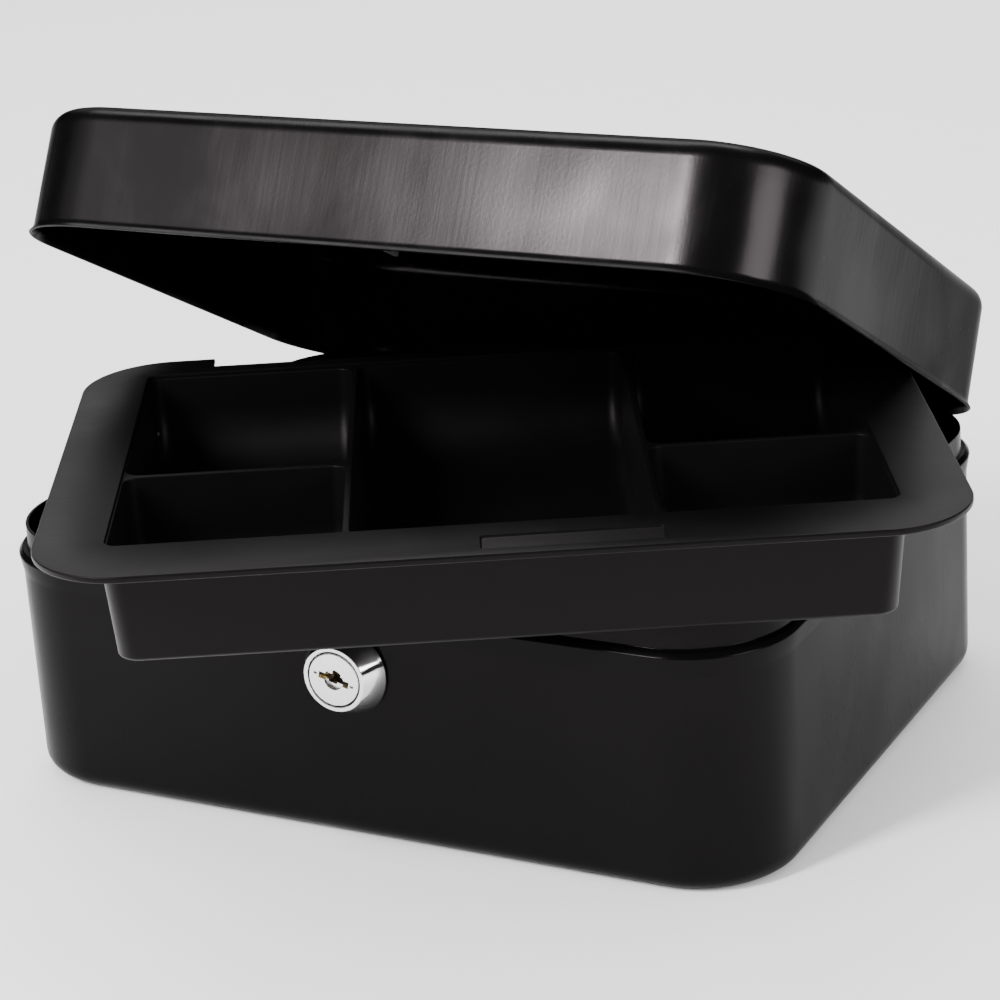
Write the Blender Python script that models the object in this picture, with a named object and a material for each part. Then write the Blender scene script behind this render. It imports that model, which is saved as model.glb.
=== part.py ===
"""Steel cash box: a deep-drawn base with a stepped-in neck, a hinged deep-drawn lid
standing part open, a loose moulded coin tray lying askew across the neck, a wafer cam
lock in the front wall and a folding wire handle in the lid.

Units are metres, +Z up, X to the right, Y to the back. The origin is the centre of the
base's underside. Lid parts are modelled closed, under an empty on the hinge pins' axis
that swings them open; the tray, the lock's plug and the handle hang on empties as well.
"""
import math

import bmesh
import bpy
from mathutils import Vector

# ---- driving dimensions -------------------------------------------------------------
GAP = 0.0003                 # clearance between separate pieces that touch
SHEET = 0.0008               # drawn steel sheet

WIDTH = 0.200
DEPTH = 0.160
BASE_CORNER = 0.024
BASE_FILLET = 0.005
BEAD_OUT = 0.00075           # the wall swells to a bead under the ledge
BEAD_FOOT = 0.0525
BEAD_MID = 0.0568
LEDGE = 0.0580
NECK_IN = 0.0010             # the neck stands this far inside the wall
NECK_ROUNDER = 0.0015        # and its corners are this much rounder, to suit the lid
NECK_FOOT = 0.0592
NECK_TOP = 0.0640

LID_TOP = 0.0884             # height of the closed lid's top
LID_SKIRT = 0.0301
LID_CORNER = 0.0255
LID_FILLET = 0.0047
LID_FLARE = 0.0009           # the skirt turns out at the rim
LID_FLARE_HIGH = 0.0022
LID_CUT_RISE = 0.0087        # the rear rim is cut up over each hinge
LID_CUT_EDGE_RISE = 0.0059
LID_CUT_FLAT = 0.0204        # half widths of that cut-out: full height, shoulder, whole
LID_CUT_SHOULDER = 0.0209
LID_CUT_HALF = 0.0278
LID_CUT_STEP = 0.0003
LID_OPEN_DEG = 28.8

HINGE_Y = 0.08260            # the pins' axis
HINGE_Z = 0.0596
HINGE_X = 0.0444             # each hinge's middle
PLATE_HALF = 0.0200          # the plates riveted to the walls
BARREL_HALF = 0.0274         # the row of knuckles
APRON_HALF = 0.0290          # the lid leaf's apron outside the cut-out
KNUCKLE_HALF = 0.0066        # the lid leaf's middle knuckle
KNUCKLE_SPLIT = 0.0070       # where the base leaf's outer knuckles begin
CURL_RADIUS = 0.0019         # middle of the rolled sheet
CURL_SWEEP_DEG = 285
PIN_RADIUS = 0.0012
PIN_HALF = 0.0282

BASE_LEAF_LOW = 0.0420
BASE_LEAF_JOG_LOW = 0.0505
BASE_LEAF_JOG_HIGH = 0.0545
BASE_RIVET_Z = 0.0462
BASE_RIVET_X = 0.0120
LID_LEAF_TOP = 0.0714
LID_LEAF_SHELF = 0.0659
LID_LEAF_EDGE = 0.0618
LID_RIVET_Z = 0.0692
LID_RIVET_X = 0.0125

HANDLE_RECESS = (0.122, 0.050, 0.010)   # width, depth, corner radius
HANDLE_RECESS_DEEP = 0.0042
HANDLE_EDGE = 0.0010
HANDLE_WIRE = 0.0022
HANDLE_AXIS_Y = 0.0090
HANDLE_GRIP_Y = -0.0170
HANDLE_LEG_X = 0.0460
HANDLE_END_X = 0.0560
HANDLE_CORNER = 0.0060
HANDLE_BEND = 0.0035
BRACKET_X = 0.05225
BRACKET_HALF = 0.00225
BRACKET_FOOT = 0.0095
BRACKET_RIVET = 0.0064

CATCH_HALF = 0.0090          # the strike under the lid's front
CATCH_LOW = 0.0660
CATCH_HIGH = 0.0760
TONGUE_X = 0.0030
TONGUE_THICK = 0.0012
TONGUE_LOW = 0.0596
TONGUE_BACK = -0.0682
TONGUE_WINDOW = (-0.0755, -0.0705, 0.0607, 0.0639)   # y low, y high, z low, z high

LOCK_Z = 0.0430
LOCK_FACE_Y = -0.0860
LOCK_FACE_RADIUS = 0.00775
LOCK_HEAD_RADIUS = 0.0107
LOCK_BARREL_RADIUS = 0.0084
LOCK_FLAT = 0.0075
LOCK_BARREL_END = -0.0746
PLUG_RADIUS = 0.0064
PLUG_END = -0.0744
PLUG_TAIL_END = -0.0727
PLUG_TAIL_HALF = 0.0027
PLUG_REST_DEG = 75.5         # the plug stands this far short of locked
KEYWAY = (0.0019, 0.0080)    # width and height
KEYWAY_END = -0.0756
WAFER_Y = (-0.0836, -0.0814, -0.0792, -0.0770)
WAFER = (0.0050, 0.0009, 0.0108)
WAFER_WINDOW = (0.0026, 0.0060)
WAFER_EAR = (0.0018, 0.0010, 0.0012)     # reach, thickness in Z, height of its underside
SPRING_X = 0.0037
SPRING_RADIUS = 0.00050
SPRING_WIRE = 0.00016
SPRING_TURNS = 3
SPRING_LOW = -0.0017
WASHER = (0.0110, 0.0005)    # radius, thickness
NUT = (0.0121, 0.0022)
CAM_FRONT = -0.0740
CAM_THICK = 0.0015
CAM_HUB = 0.0070
CAM_REACH = 0.0196           # to the top of the hook
CAM_HOOK = 0.0060
CAM_HOOK_THICK = 0.0016
CAM_ARM = (-0.0045, 0.0025)
SCREW_HEAD = (0.0036, 0.0020)
SCREW_SHANK = (0.0019, 0.0060)

TRAY_WIDTH = 0.1975
TRAY_DEPTH = 0.1450
TRAY_CORNER = 0.0210
TRAY_FLANGE = 0.0015
TRAY_HEIGHT = 0.0269
TRAY_OPEN_X = 0.0835         # half width of the opening
TRAY_OPEN_FRONT = -0.0542
TRAY_OPEN_REAR = 0.0617
TRAY_OPEN_CORNER = 0.0030
TRAY_WALL = 0.0016
TRAY_DRAFT = 0.0019
TRAY_FOOT_ROUND = 0.0012      # between the tub's walls and its floor
TRAY_LEDGE = 0.0004
TRAY_DIVIDER_DROP = 0.0010
TRAY_DIVIDER_X = 0.0330
TRAY_CROSS_Y = -0.0090
TRAY_NOTCH_X = 0.0679        # the rear flange is cut back between two ears
TRAY_NOTCH_DEEP = 0.0060
TRAY_PAD = (-0.0051, 0.0332, -0.0690, -0.0614)   # shallow sunk panel in the front flange
TRAY_PAD_DEEP = 0.0004
POCKET_DRAFT = 0.0008
POCKET_FILLET = 0.0035
SCOOP_REAR = 0.0170
SCOOP_FRONT = 0.0110
TRAY_PLACE = (0.0264, -0.0504, 0.09185)
TRAY_TURN_DEG = (0.2, 0.45, 28.7)

CORNER_STEPS = 8
ROUND_STEPS = 32


# ---- scene helpers ------------------------------------------------------------------
def clear_scene():
    for thing in list(bpy.data.objects):
        bpy.data.objects.remove(thing, do_unlink=True)


def material(name, colour, roughness, metallic):
    made = bpy.data.materials.new(name)
    made.use_nodes = True
    shader = made.node_tree.nodes["Principled BSDF"]
    shader.inputs["Base Color"].default_value = (*colour, 1.0)
    shader.inputs["Roughness"].default_value = roughness
    shader.inputs["Metallic"].default_value = metallic
    return made


def empty(name, place, parent=None, turn=(0.0, 0.0, 0.0)):
    made = bpy.data.objects.new(name, None)
    made.location = place
    made.rotation_euler = [math.radians(angle) for angle in turn]
    made.parent = parent
    bpy.context.scene.collection.objects.link(made)
    return made


def to_object(name, mesh_data, finish, parent=None, origin=(0.0, 0.0, 0.0)):
    """Turns a bmesh, given in the closed box's coordinates, into an object whose own
    origin is at that point of them, and hangs it on its parent there."""
    bmesh.ops.recalc_face_normals(mesh_data, faces=mesh_data.faces)
    for vert in mesh_data.verts:
        vert.co -= Vector(origin)
    mesh = bpy.data.meshes.new(name)
    mesh_data.to_mesh(mesh)
    mesh_data.free()
    if finish is not None:
        mesh.materials.append(finish)
    mesh.shade_smooth()
    mesh.set_sharp_from_angle(angle=math.radians(35))
    made = bpy.data.objects.new(name, mesh)
    bpy.context.scene.collection.objects.link(made)
    made.parent = parent
    if parent is None:
        made.location = origin
    return made


def cutter(name, mesh_data, parent=None, origin=(0.0, 0.0, 0.0)):
    made = to_object(name, mesh_data, None, parent, origin)
    made.hide_render = True
    made.display_type = "WIRE"
    return made


def cut(target, tool, operation="DIFFERENCE"):
    modifier = target.modifiers.new(tool.name, "BOOLEAN")
    modifier.operation = operation
    modifier.solver = "EXACT"
    modifier.object = tool
    return modifier


# ---- shape helpers ------------------------------------------------------------------
def rounded_outline(x_low, x_high, y_low, y_high, radius, rear_stops=(), steps=CORNER_STEPS):
    """Counter-clockwise rounded rectangle, from its right side's rear end. The rear side
    may carry stops, given as shares of its straight stretch from -1 to 1."""
    centres = [
        (x_high - radius, y_high - radius),
        (x_low + radius, y_high - radius),
        (x_low + radius, y_low + radius),
        (x_high - radius, y_low + radius),
    ]
    middle = (x_low + x_high) / 2
    straight = (x_high - x_low) / 2 - radius
    points = []
    for quarter, (cx, cy) in enumerate(centres):
        for step in range(steps + 1):
            angle = math.pi / 2 * (quarter + step / steps)
            points.append((cx + radius * math.cos(angle), cy + radius * math.sin(angle)))
        if quarter == 0:
            points += [(middle + share * straight, y_high) for share in rear_stops]
    return points


def centred_outline(width, depth, radius, rear_stops=()):
    return rounded_outline(-width / 2, width / 2, -depth / 2, depth / 2, radius, rear_stops)


def add_loop(bm, outline, z):
    """A ring of vertices. z is one height, or one for each point."""
    heights = z if hasattr(z, "__len__") else [z] * len(outline)
    return [bm.verts.new((x, y, h)) for (x, y), h in zip(outline, heights)]


def bridge(bm, lower, upper):
    count = len(lower)
    for i in range(count):
        j = (i + 1) % count
        bm.faces.new((lower[i], lower[j], upper[j], upper[i]))


def loft(bm, loops, cap_first=True, cap_last=True):
    for lower, upper in zip(loops, loops[1:]):
        bridge(bm, lower, upper)
    if cap_first:
        bm.faces.new(list(reversed(loops[0])))
    if cap_last:
        bm.faces.new(loops[-1])


def fill_between(bm, *loops):
    """Flat face between an outer loop and the loops inside it."""
    edges = []
    for loop in loops:
        for i, vert in enumerate(loop):
            after = loop[(i + 1) % len(loop)]
            edge = bm.edges.get((vert, after)) or bm.edges.new((vert, after))
            edges.append(edge)
    bmesh.ops.triangle_fill(bm, use_beauty=True, use_dissolve=False, edges=edges)


def arc(centre, radius, start_deg, end_deg, steps):
    """Points on an arc, both ends included."""
    points = []
    for step in range(steps + 1):
        angle = math.radians(start_deg + (end_deg - start_deg) * step / steps)
        points.append((centre[0] + radius * math.cos(angle), centre[1] + radius * math.sin(angle)))
    return points


def turned(bm, profile, axis_point, direction="Y", steps=ROUND_STEPS):
    """Solid of revolution. profile is a list of (distance along the axis, radius); a
    radius of 0 closes an end. The axis runs along X, Y or Z through axis_point."""
    loops = []
    for along, radius in profile:
        if radius <= 0:
            loops.append([bm.verts.new(place_on_axis(axis_point, direction, along, 0, 0))])
            continue
        loops.append([
            bm.verts.new(place_on_axis(
                axis_point, direction, along,
                radius * math.cos(2 * math.pi * k / steps),
                radius * math.sin(2 * math.pi * k / steps)))
            for k in range(steps)
        ])
    for first, second in zip(loops, loops[1:]):
        for k in range(steps):
            after = (k + 1) % steps
            if len(first) == 1:
                bm.faces.new((first[0], second[after], second[k]))
            elif len(second) == 1:
                bm.faces.new((first[k], first[after], second[0]))
            else:
                bm.faces.new((first[k], first[after], second[after], second[k]))
    return loops


def place_on_axis(axis_point, direction, along, across, up):
    px, py, pz = axis_point
    if direction == "X":
        return (px + along, py + across, pz + up)
    if direction == "Y":
        return (px + across, py + along, pz + up)
    return (px + across, py + up, pz + along)


def turned_ring(bm, outer, inner, axis_point, direction="Y", steps=ROUND_STEPS):
    """Closed ring: the outer profile from one end to the other, then the inner one back."""
    loops = turned(bm, list(outer) + list(inner), axis_point, direction, steps)
    first, last = loops[0], loops[-1]
    for k in range(steps):
        after = (k + 1) % steps
        bm.faces.new((last[k], last[after], first[after], first[k]))


def block(bm, low, high):
    """Axis-aligned box between two corners."""
    corners = [
        bm.verts.new((x, y, z))
        for z in (low[2], high[2])
        for x, y in ((low[0], low[1]), (high[0], low[1]), (high[0], high[1]), (low[0], high[1]))
    ]
    bm.faces.new(corners[3::-1])
    bm.faces.new(corners[4:])
    for i in range(4):
        j = (i + 1) % 4
        bm.faces.new((corners[i], corners[j], corners[j + 4], corners[i + 4]))


def prism(bm, outline, low, high, direction="Y"):
    """Extrudes an outline. Along Y the outline is in (x, z); along X it is in (y, z)."""
    if direction == "Y":
        near = [bm.verts.new((a, low, b)) for a, b in outline]
        far = [bm.verts.new((a, high, b)) for a, b in outline]
    else:
        near = [bm.verts.new((low, a, b)) for a, b in outline]
        far = [bm.verts.new((high, a, b)) for a, b in outline]
    loft(bm, [near, far])


def bent_sheet(bm, stations, path, thickness, is_present):
    """A sheet bent along a path in the YZ plane. stations are its X positions; a cell
    between two stations and two path points exists where is_present(column, row)."""
    normals = []
    for i, point in enumerate(path):
        before = Vector(path[max(i - 1, 0)])
        after = Vector(path[min(i + 1, len(path) - 1)])
        here = Vector(point)
        incoming = (here - before).normalized() if i else (after - here).normalized()
        outgoing = (after - here).normalized() if i < len(path) - 1 else incoming
        tangent = (incoming + outgoing).normalized()
        stretch = 1 / max(tangent.dot(incoming), 0.5)
        normals.append(Vector((-tangent.y, tangent.x)) * stretch)
    sides = []
    for sign in (1, -1):
        grid = {}
        for column, x in enumerate(stations):
            for row, point in enumerate(path):
                y, z = Vector(point) + normals[row] * sign * thickness / 2
                grid[column, row] = bm.verts.new((x, y, z))
        sides.append(grid)
    top, bottom = sides
    columns, rows = len(stations) - 1, len(path) - 1

    def present(column, row):
        return 0 <= column < columns and 0 <= row < rows and is_present(column, row)

    for column in range(columns):
        for row in range(rows):
            if not present(column, row):
                continue
            ring = [(column, row), (column + 1, row), (column + 1, row + 1), (column, row + 1)]
            bm.faces.new([top[key] for key in ring])
            bm.faces.new([bottom[key] for key in reversed(ring)])
            beside = [(column, row - 1), (column + 1, row), (column, row + 1), (column - 1, row)]
            for side, neighbour in enumerate(beside):
                if present(*neighbour):
                    continue
                a, b = ring[side], ring[(side + 1) % 4]
                bm.faces.new((top[a], bottom[a], bottom[b], top[b]))
    bmesh.ops.delete(bm, geom=[v for v in bm.verts if not v.link_faces], context="VERTS")


def rivet(bm, axis_point, direction, head_at, tail_at, shank, head, tail, rise):
    """A domed head whose underside is at head_at and a flatter tail whose underside is at
    tail_at. The head stands towards the tail's opposite side."""
    away = 1 if head_at > tail_at else -1
    profile = [
        (head_at + away * rise, 0),
        (head_at + away * rise * 0.85, head * 0.55),
        (head_at, head),
        (head_at, shank),
        (tail_at, shank),
        (tail_at, tail),
        (tail_at - away * rise * 0.8, tail * 0.7),
        (tail_at - away * rise * 0.8, 0),
    ]
    turned(bm, profile, axis_point, direction, steps=12)


def sides(name):
    """The left and right copies of a paired piece."""
    return ((f"{name}_left", -1), (f"{name}_right", 1))


# ---- base ---------------------------------------------------------------------------
def base_profile():
    """(outset, height, extra corner radius) of the outer skin from the floor up, then of
    the inner skin down."""
    corner = math.sqrt(0.5)
    quarter = [math.pi / 2 * k / 5 for k in range(6)]
    outer = [(-BASE_FILLET + BASE_FILLET * math.sin(a), BASE_FILLET - BASE_FILLET * math.cos(a), 0)
             for a in quarter]
    outer += [
        (0.0, BEAD_FOOT, 0),
        (BEAD_OUT * 0.45, BEAD_FOOT + 0.0022, 0),
        (BEAD_OUT * 0.9, BEAD_MID - 0.0009, 0),
        (BEAD_OUT, BEAD_MID, 0),
        (BEAD_OUT * corner, LEDGE - 0.0004, 0),
        (0.0, LEDGE, 0),
        (-NECK_IN * 0.7, LEDGE + 0.0002, NECK_ROUNDER / 2),
        (-NECK_IN, NECK_FOOT, NECK_ROUNDER),
        (-NECK_IN, NECK_TOP - 0.0002, NECK_ROUNDER),
        (-NECK_IN - 0.0002, NECK_TOP, NECK_ROUNDER),
    ]
    inner = [
        (-NECK_IN - SHEET + 0.0002, NECK_TOP, NECK_ROUNDER),
        (-NECK_IN - SHEET, NECK_TOP - 0.0002, NECK_ROUNDER),
        (-NECK_IN - SHEET, LEDGE + 0.0001, NECK_ROUNDER),
        (-NECK_IN * 0.9 - SHEET / 2, LEDGE - 0.0006, NECK_ROUNDER),
        (-SHEET * 0.2, LEDGE - SHEET, 0),
        (BEAD_OUT * corner - SHEET, BEAD_MID - 0.0002, 0),
        (BEAD_OUT * 0.9 - SHEET, BEAD_MID - 0.0009, 0),
        (BEAD_OUT * 0.45 - SHEET, BEAD_FOOT + 0.0022, 0),
        (-SHEET, BEAD_FOOT, 0),
    ]
    bend = BASE_FILLET - SHEET
    inner += [(-SHEET - bend + bend * math.cos(a), BASE_FILLET - bend * math.sin(a), 0) for a in quarter]
    return outer + inner


def make_base(finish):
    bm = bmesh.new()
    loops = []
    for out, height, rounder in base_profile():
        outline = centred_outline(WIDTH + 2 * out, DEPTH + 2 * out, BASE_CORNER + out + rounder)
        loops.append(add_loop(bm, outline, height))
    loft(bm, loops)
    return to_object("base_shell", bm, finish)


def lock_section(radius, flat):
    """Circle with two flats, about the lock's axis, as (x, z)."""
    half = math.degrees(math.acos(flat / radius))
    right = arc((0, 0), radius, half, 180 - half, 12)
    left = arc((0, 0), radius, 180 + half, 360 - half, 12)
    return [(x, LOCK_Z + z) for x, z in right + left]


def base_rivet_spots():
    return [(side * HINGE_X + shift, BASE_RIVET_Z)
            for side in (-1, 1) for shift in (-BASE_RIVET_X, BASE_RIVET_X)]


def make_base_cutters():
    bm = bmesh.new()
    prism(bm, lock_section(LOCK_BARREL_RADIUS + GAP, LOCK_FLAT + GAP), -0.085, -0.075)
    lock_hole = cutter("lock_hole_cutter", bm)
    bm = bmesh.new()
    for x, z in base_rivet_spots():
        turned(bm, [(0.076, 0), (0.076, 0.0013), (0.084, 0.0013), (0.084, 0)], (x, 0, z), "Y", 12)
    return lock_hole, cutter("base_rivet_cutter", bm)


# ---- lid ----------------------------------------------------------------------------
def lid_rear_stops():
    """Shares of the rear side's straight stretch at which the rim's height changes."""
    straight = WIDTH / 2 - LID_CORNER
    reaches = [LID_CUT_HALF + LID_CUT_STEP, LID_CUT_HALF, LID_CUT_SHOULDER, LID_CUT_FLAT]
    offsets = reaches + [-reach for reach in reversed(reaches)]
    right = [HINGE_X + offset for offset in offsets]
    return [x / straight for x in right] + [-x / straight for x in reversed(right)]


def lid_rim_rise(x, y):
    """How far the skirt's rim is cut up at a point of the outline."""
    off = abs(abs(x) - HINGE_X)
    if y < DEPTH / 2 - SHEET * 2 or off > LID_CUT_HALF + 1e-6:
        return 0.0
    return LID_CUT_RISE if off <= LID_CUT_FLAT + 1e-6 else LID_CUT_EDGE_RISE


def lid_rim(bm, offset):
    """The flared rings of one skin at the rim, from the edge up. Over the hinges the rim
    is cut above the flare, so there the rings stay plain."""
    stops = lid_rear_stops()

    def outline_at(out):
        inset = offset - out
        return centred_outline(WIDTH - 2 * inset, DEPTH - 2 * inset, LID_CORNER - inset, stops)

    plain = outline_at(0.0)
    rises = [lid_rim_rise(x, y) for x, y in centred_outline(WIDTH, DEPTH, LID_CORNER, stops)]
    loops = []
    for out, lift in ((LID_FLARE, 0.0), (LID_FLARE * 0.35, LID_FLARE_HIGH * 0.45), (0.0, LID_FLARE_HIGH)):
        outline = [straight if rise else flared
                   for straight, flared, rise in zip(plain, outline_at(out), rises)]
        heights = [LID_TOP - LID_SKIRT + rise + (lift * 0.3 if rise else lift) for rise in rises]
        loops.append(add_loop(bm, outline, heights))
    return loops


def lid_skin(offset):
    """Outline and height of each ring of one skin, from above the rim to the handle
    recess's floor. offset is 0 for the outer skin and the sheet for the inner one."""
    stops = lid_rear_stops()
    top = LID_TOP - offset
    fillet = LID_FILLET - offset
    rings = [(centred_outline(WIDTH - 2 * offset, DEPTH - 2 * offset, LID_CORNER - offset, stops),
              LID_TOP - LID_SKIRT + LID_CUT_RISE + 0.0015)]
    for step in range(6):
        angle = math.pi / 2 * step / 5
        inset = offset + fillet * (1 - math.cos(angle))
        rings.append((centred_outline(WIDTH - 2 * inset, DEPTH - 2 * inset, LID_CORNER - inset, stops),
                      top - fillet + fillet * math.sin(angle)))
    width, depth, corner = HANDLE_RECESS
    edge = HANDLE_EDGE + offset
    floor = LID_TOP - HANDLE_RECESS_DEEP - offset
    for step in range(4):
        angle = math.pi / 2 * step / 3
        out = edge * (1 - math.sin(angle)) + offset
        rings.append((centred_outline(width + 2 * out, depth + 2 * out, corner + out, stops),
                      top - edge * (1 - math.cos(angle))))
    bend = HANDLE_EDGE + SHEET - offset
    for step in range(4):
        angle = math.pi / 2 * step / 3
        out = offset - bend * (1 - math.cos(angle))
        rings.append((centred_outline(width + 2 * out, depth + 2 * out, corner + out, stops),
                      floor + bend * (1 - math.sin(angle))))
    return rings


def make_lid(finish, pivot):
    bm = bmesh.new()
    outer = lid_rim(bm, 0.0) + [add_loop(bm, outline, z) for outline, z in lid_skin(0.0)]
    inner = lid_rim(bm, SHEET) + [add_loop(bm, outline, z) for outline, z in lid_skin(SHEET)]
    loft(bm, list(reversed(inner)) + outer)
    return to_object("lid_shell", bm, finish, pivot, (0, HINGE_Y, HINGE_Z))


def lid_rivet_spots():
    return [(side * HINGE_X + shift, LID_RIVET_Z)
            for side in (-1, 1) for shift in (-LID_RIVET_X, 0, LID_RIVET_X)]


def handle_rivet_spots():
    return [(side * BRACKET_X, HANDLE_AXIS_Y + shift)
            for side in (-1, 1) for shift in (-BRACKET_RIVET, BRACKET_RIVET)]


def make_lid_cutter(pivot):
    """Rivet holes of the lid's hinges and handle brackets."""
    bm = bmesh.new()
    for x, z in lid_rivet_spots():
        turned(bm, [(0.0755, 0), (0.0755, 0.0012), (0.083, 0.0012), (0.083, 0)], (x, 0, z), "Y", 12)
    for x, y in handle_rivet_spots():
        turned(bm, [(0.081, 0), (0.081, 0.0012), (0.087, 0.0012), (0.087, 0)], (x, y, 0), "Z", 12)
    return cutter("lid_rivet_cutter", bm, pivot, (0, HINGE_Y, HINGE_Z))


# ---- hinges -------------------------------------------------------------------------
def curl(start_deg):
    """The rolled knuckle's middle line about the pin."""
    return arc((HINGE_Y, HINGE_Z), CURL_RADIUS, start_deg, start_deg + CURL_SWEEP_DEG, 14)


def leaf_stations(side, split, reach):
    """X positions across a leaf: its ends, its plate's sides and its middle knuckle's."""
    return [side * HINGE_X + x for x in (-reach, -PLATE_HALF, -split, split, PLATE_HALF, reach)]


def make_base_leaf(name, side, finish):
    """Riveted to the rear wall, jogged out past the bead, rolled over the pin."""
    plate_y = DEPTH / 2 + GAP + SHEET / 2
    path = [(plate_y, BASE_LEAF_LOW), (plate_y, BASE_LEAF_JOG_LOW),
            (HINGE_Y + CURL_RADIUS, BASE_LEAF_JOG_HIGH),
            (HINGE_Y + CURL_RADIUS, HINGE_Z - CURL_RADIUS * 2)] + curl(0)
    stations = leaf_stations(side, KNUCKLE_SPLIT, BARREL_HALF)
    bm = bmesh.new()
    bent_sheet(bm, stations, path, SHEET, lambda column, row: row > 2 and column != 2
               or row == 2 or row < 2 and column in (1, 2, 3))
    return to_object(name, bm, finish)


def make_lid_leaf(name, side, finish, pivot):
    """Riveted inside the lid's rear wall, out through the cut-out, rolled under the pin."""
    plate_y = DEPTH / 2 - SHEET - GAP - SHEET / 2
    drop_y = HINGE_Y - CURL_RADIUS
    path = [(plate_y, LID_LEAF_TOP), (plate_y, LID_LEAF_SHELF), (drop_y, LID_LEAF_SHELF),
            (drop_y, LID_LEAF_EDGE)] + curl(180)
    stations = leaf_stations(side, KNUCKLE_HALF, APRON_HALF)
    bm = bmesh.new()
    bent_sheet(bm, stations, path, SHEET, lambda column, row: row > 2 and column == 2
               or row == 2 or row < 2 and column in (1, 2, 3))
    return to_object(name, bm, finish, pivot, (0, HINGE_Y, HINGE_Z))


def make_pin(name, side, finish):
    chamfer = 0.0003
    bm = bmesh.new()
    profile = [(-PIN_HALF, 0), (-PIN_HALF, PIN_RADIUS - chamfer), (-PIN_HALF + chamfer, PIN_RADIUS),
               (PIN_HALF - chamfer, PIN_RADIUS), (PIN_HALF, PIN_RADIUS - chamfer), (PIN_HALF, 0)]
    turned(bm, profile, (side * HINGE_X, HINGE_Y, HINGE_Z), "X", 20)
    return to_object(name, bm, finish)


def make_hinges(finish, pin_finish, pivot, base_cutter, lid_cutter):
    leaf_out = DEPTH / 2 + GAP + SHEET
    leaf_in = DEPTH / 2 - SHEET * 2 - GAP
    for name, side in sides("base_hinge_leaf"):
        cut(make_base_leaf(name, side, finish), base_cutter)
    for name, side in sides("lid_hinge_leaf"):
        cut(make_lid_leaf(name, side, finish, pivot), lid_cutter)
    for name, side in sides("hinge_pin"):
        make_pin(name, side, pin_finish)
    for number, (x, z) in enumerate(base_rivet_spots(), start=1):
        bm = bmesh.new()
        rivet(bm, (x, 0, z), "Y", leaf_out + GAP, DEPTH / 2 - SHEET - GAP, 0.0010, 0.0020, 0.0018, 0.0009)
        to_object(f"base_hinge_rivet_{number}", bm, finish)
    for number, (x, z) in enumerate(lid_rivet_spots(), start=1):
        bm = bmesh.new()
        rivet(bm, (x, 0, z), "Y", DEPTH / 2 + GAP, leaf_in - GAP, 0.0009, 0.0018, 0.0016, 0.0008)
        to_object(f"lid_hinge_rivet_{number}", bm, finish, pivot, (0, HINGE_Y, HINGE_Z))


# ---- strike under the lid's front ---------------------------------------------------
def make_catch(finish, pivot):
    """A plate spot-welded to the front wall, whose windowed tongue hangs behind the neck."""
    wall = -DEPTH / 2 + SHEET + GAP
    y_low, y_high, z_low, z_high = TONGUE_WINDOW
    bm = bmesh.new()
    block(bm, (-CATCH_HALF, wall, CATCH_LOW), (CATCH_HALF, wall + SHEET, CATCH_HIGH))
    plate = to_object("lid_catch", bm, finish, pivot, (0, HINGE_Y, HINGE_Z))
    bm = bmesh.new()
    front = wall + SHEET / 2
    frame_top = z_high + 0.0016
    outline = [(front, CATCH_LOW + 0.0006), (front, frame_top + 0.0025), (front, CATCH_HIGH - 0.0012),
               (TONGUE_BACK + 0.003, CATCH_HIGH - 0.0035), (TONGUE_BACK, frame_top + 0.0030),
               (TONGUE_BACK, TONGUE_LOW), (y_low - 0.0016, TONGUE_LOW), (y_low - 0.0016, CATCH_LOW - 0.0010)]
    prism(bm, outline, TONGUE_X, TONGUE_X + TONGUE_THICK, "X")
    tongue = cutter("catch_tongue_union", bm, pivot, (0, HINGE_Y, HINGE_Z))
    bm = bmesh.new()
    block(bm, (TONGUE_X - 0.001, y_low, z_low), (TONGUE_X + TONGUE_THICK + 0.001, y_high, z_high))
    window = cutter("catch_window_cutter", bm, pivot, (0, HINGE_Y, HINGE_Z))
    cut(plate, tongue, "UNION")
    cut(plate, window)


# ---- handle -------------------------------------------------------------------------
def handle_route():
    """Middle line of the wire bail, in (x, y)."""
    bend, corner = HANDLE_BEND, HANDLE_CORNER
    leg, grip, axis = HANDLE_LEG_X, HANDLE_GRIP_Y, HANDLE_AXIS_Y
    half = [(HANDLE_END_X, axis)]
    half += arc((leg + bend, axis - bend), bend, 90, 180, 4)
    half += arc((leg - corner, grip + corner), corner, 0, -90, 6)
    return half + [(-x, y) for x, y in reversed(half)]


def make_handle(finish, handle_pivot, height):
    route = [Vector((x, y, height)) for x, y in handle_route()]
    sides_round = 12
    bm = bmesh.new()
    loops = []
    for i, point in enumerate(route):
        before = route[max(i - 1, 0)]
        after = route[min(i + 1, len(route) - 1)]
        incoming = (point - before).normalized() if i else (after - point).normalized()
        outgoing = (after - point).normalized() if i < len(route) - 1 else incoming
        tangent = (incoming + outgoing).normalized()
        across = Vector((-tangent.y, tangent.x, 0)) / max(tangent.dot(incoming), 0.5)
        loops.append([
            bm.verts.new(point
                         + across * HANDLE_WIRE * math.cos(2 * math.pi * k / sides_round)
                         + Vector((0, 0, 1)) * HANDLE_WIRE * math.sin(2 * math.pi * k / sides_round))
            for k in range(sides_round)
        ])
    loft(bm, loops)
    return to_object("lid_handle", bm, finish, handle_pivot, (0, HANDLE_AXIS_Y, height))


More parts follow.
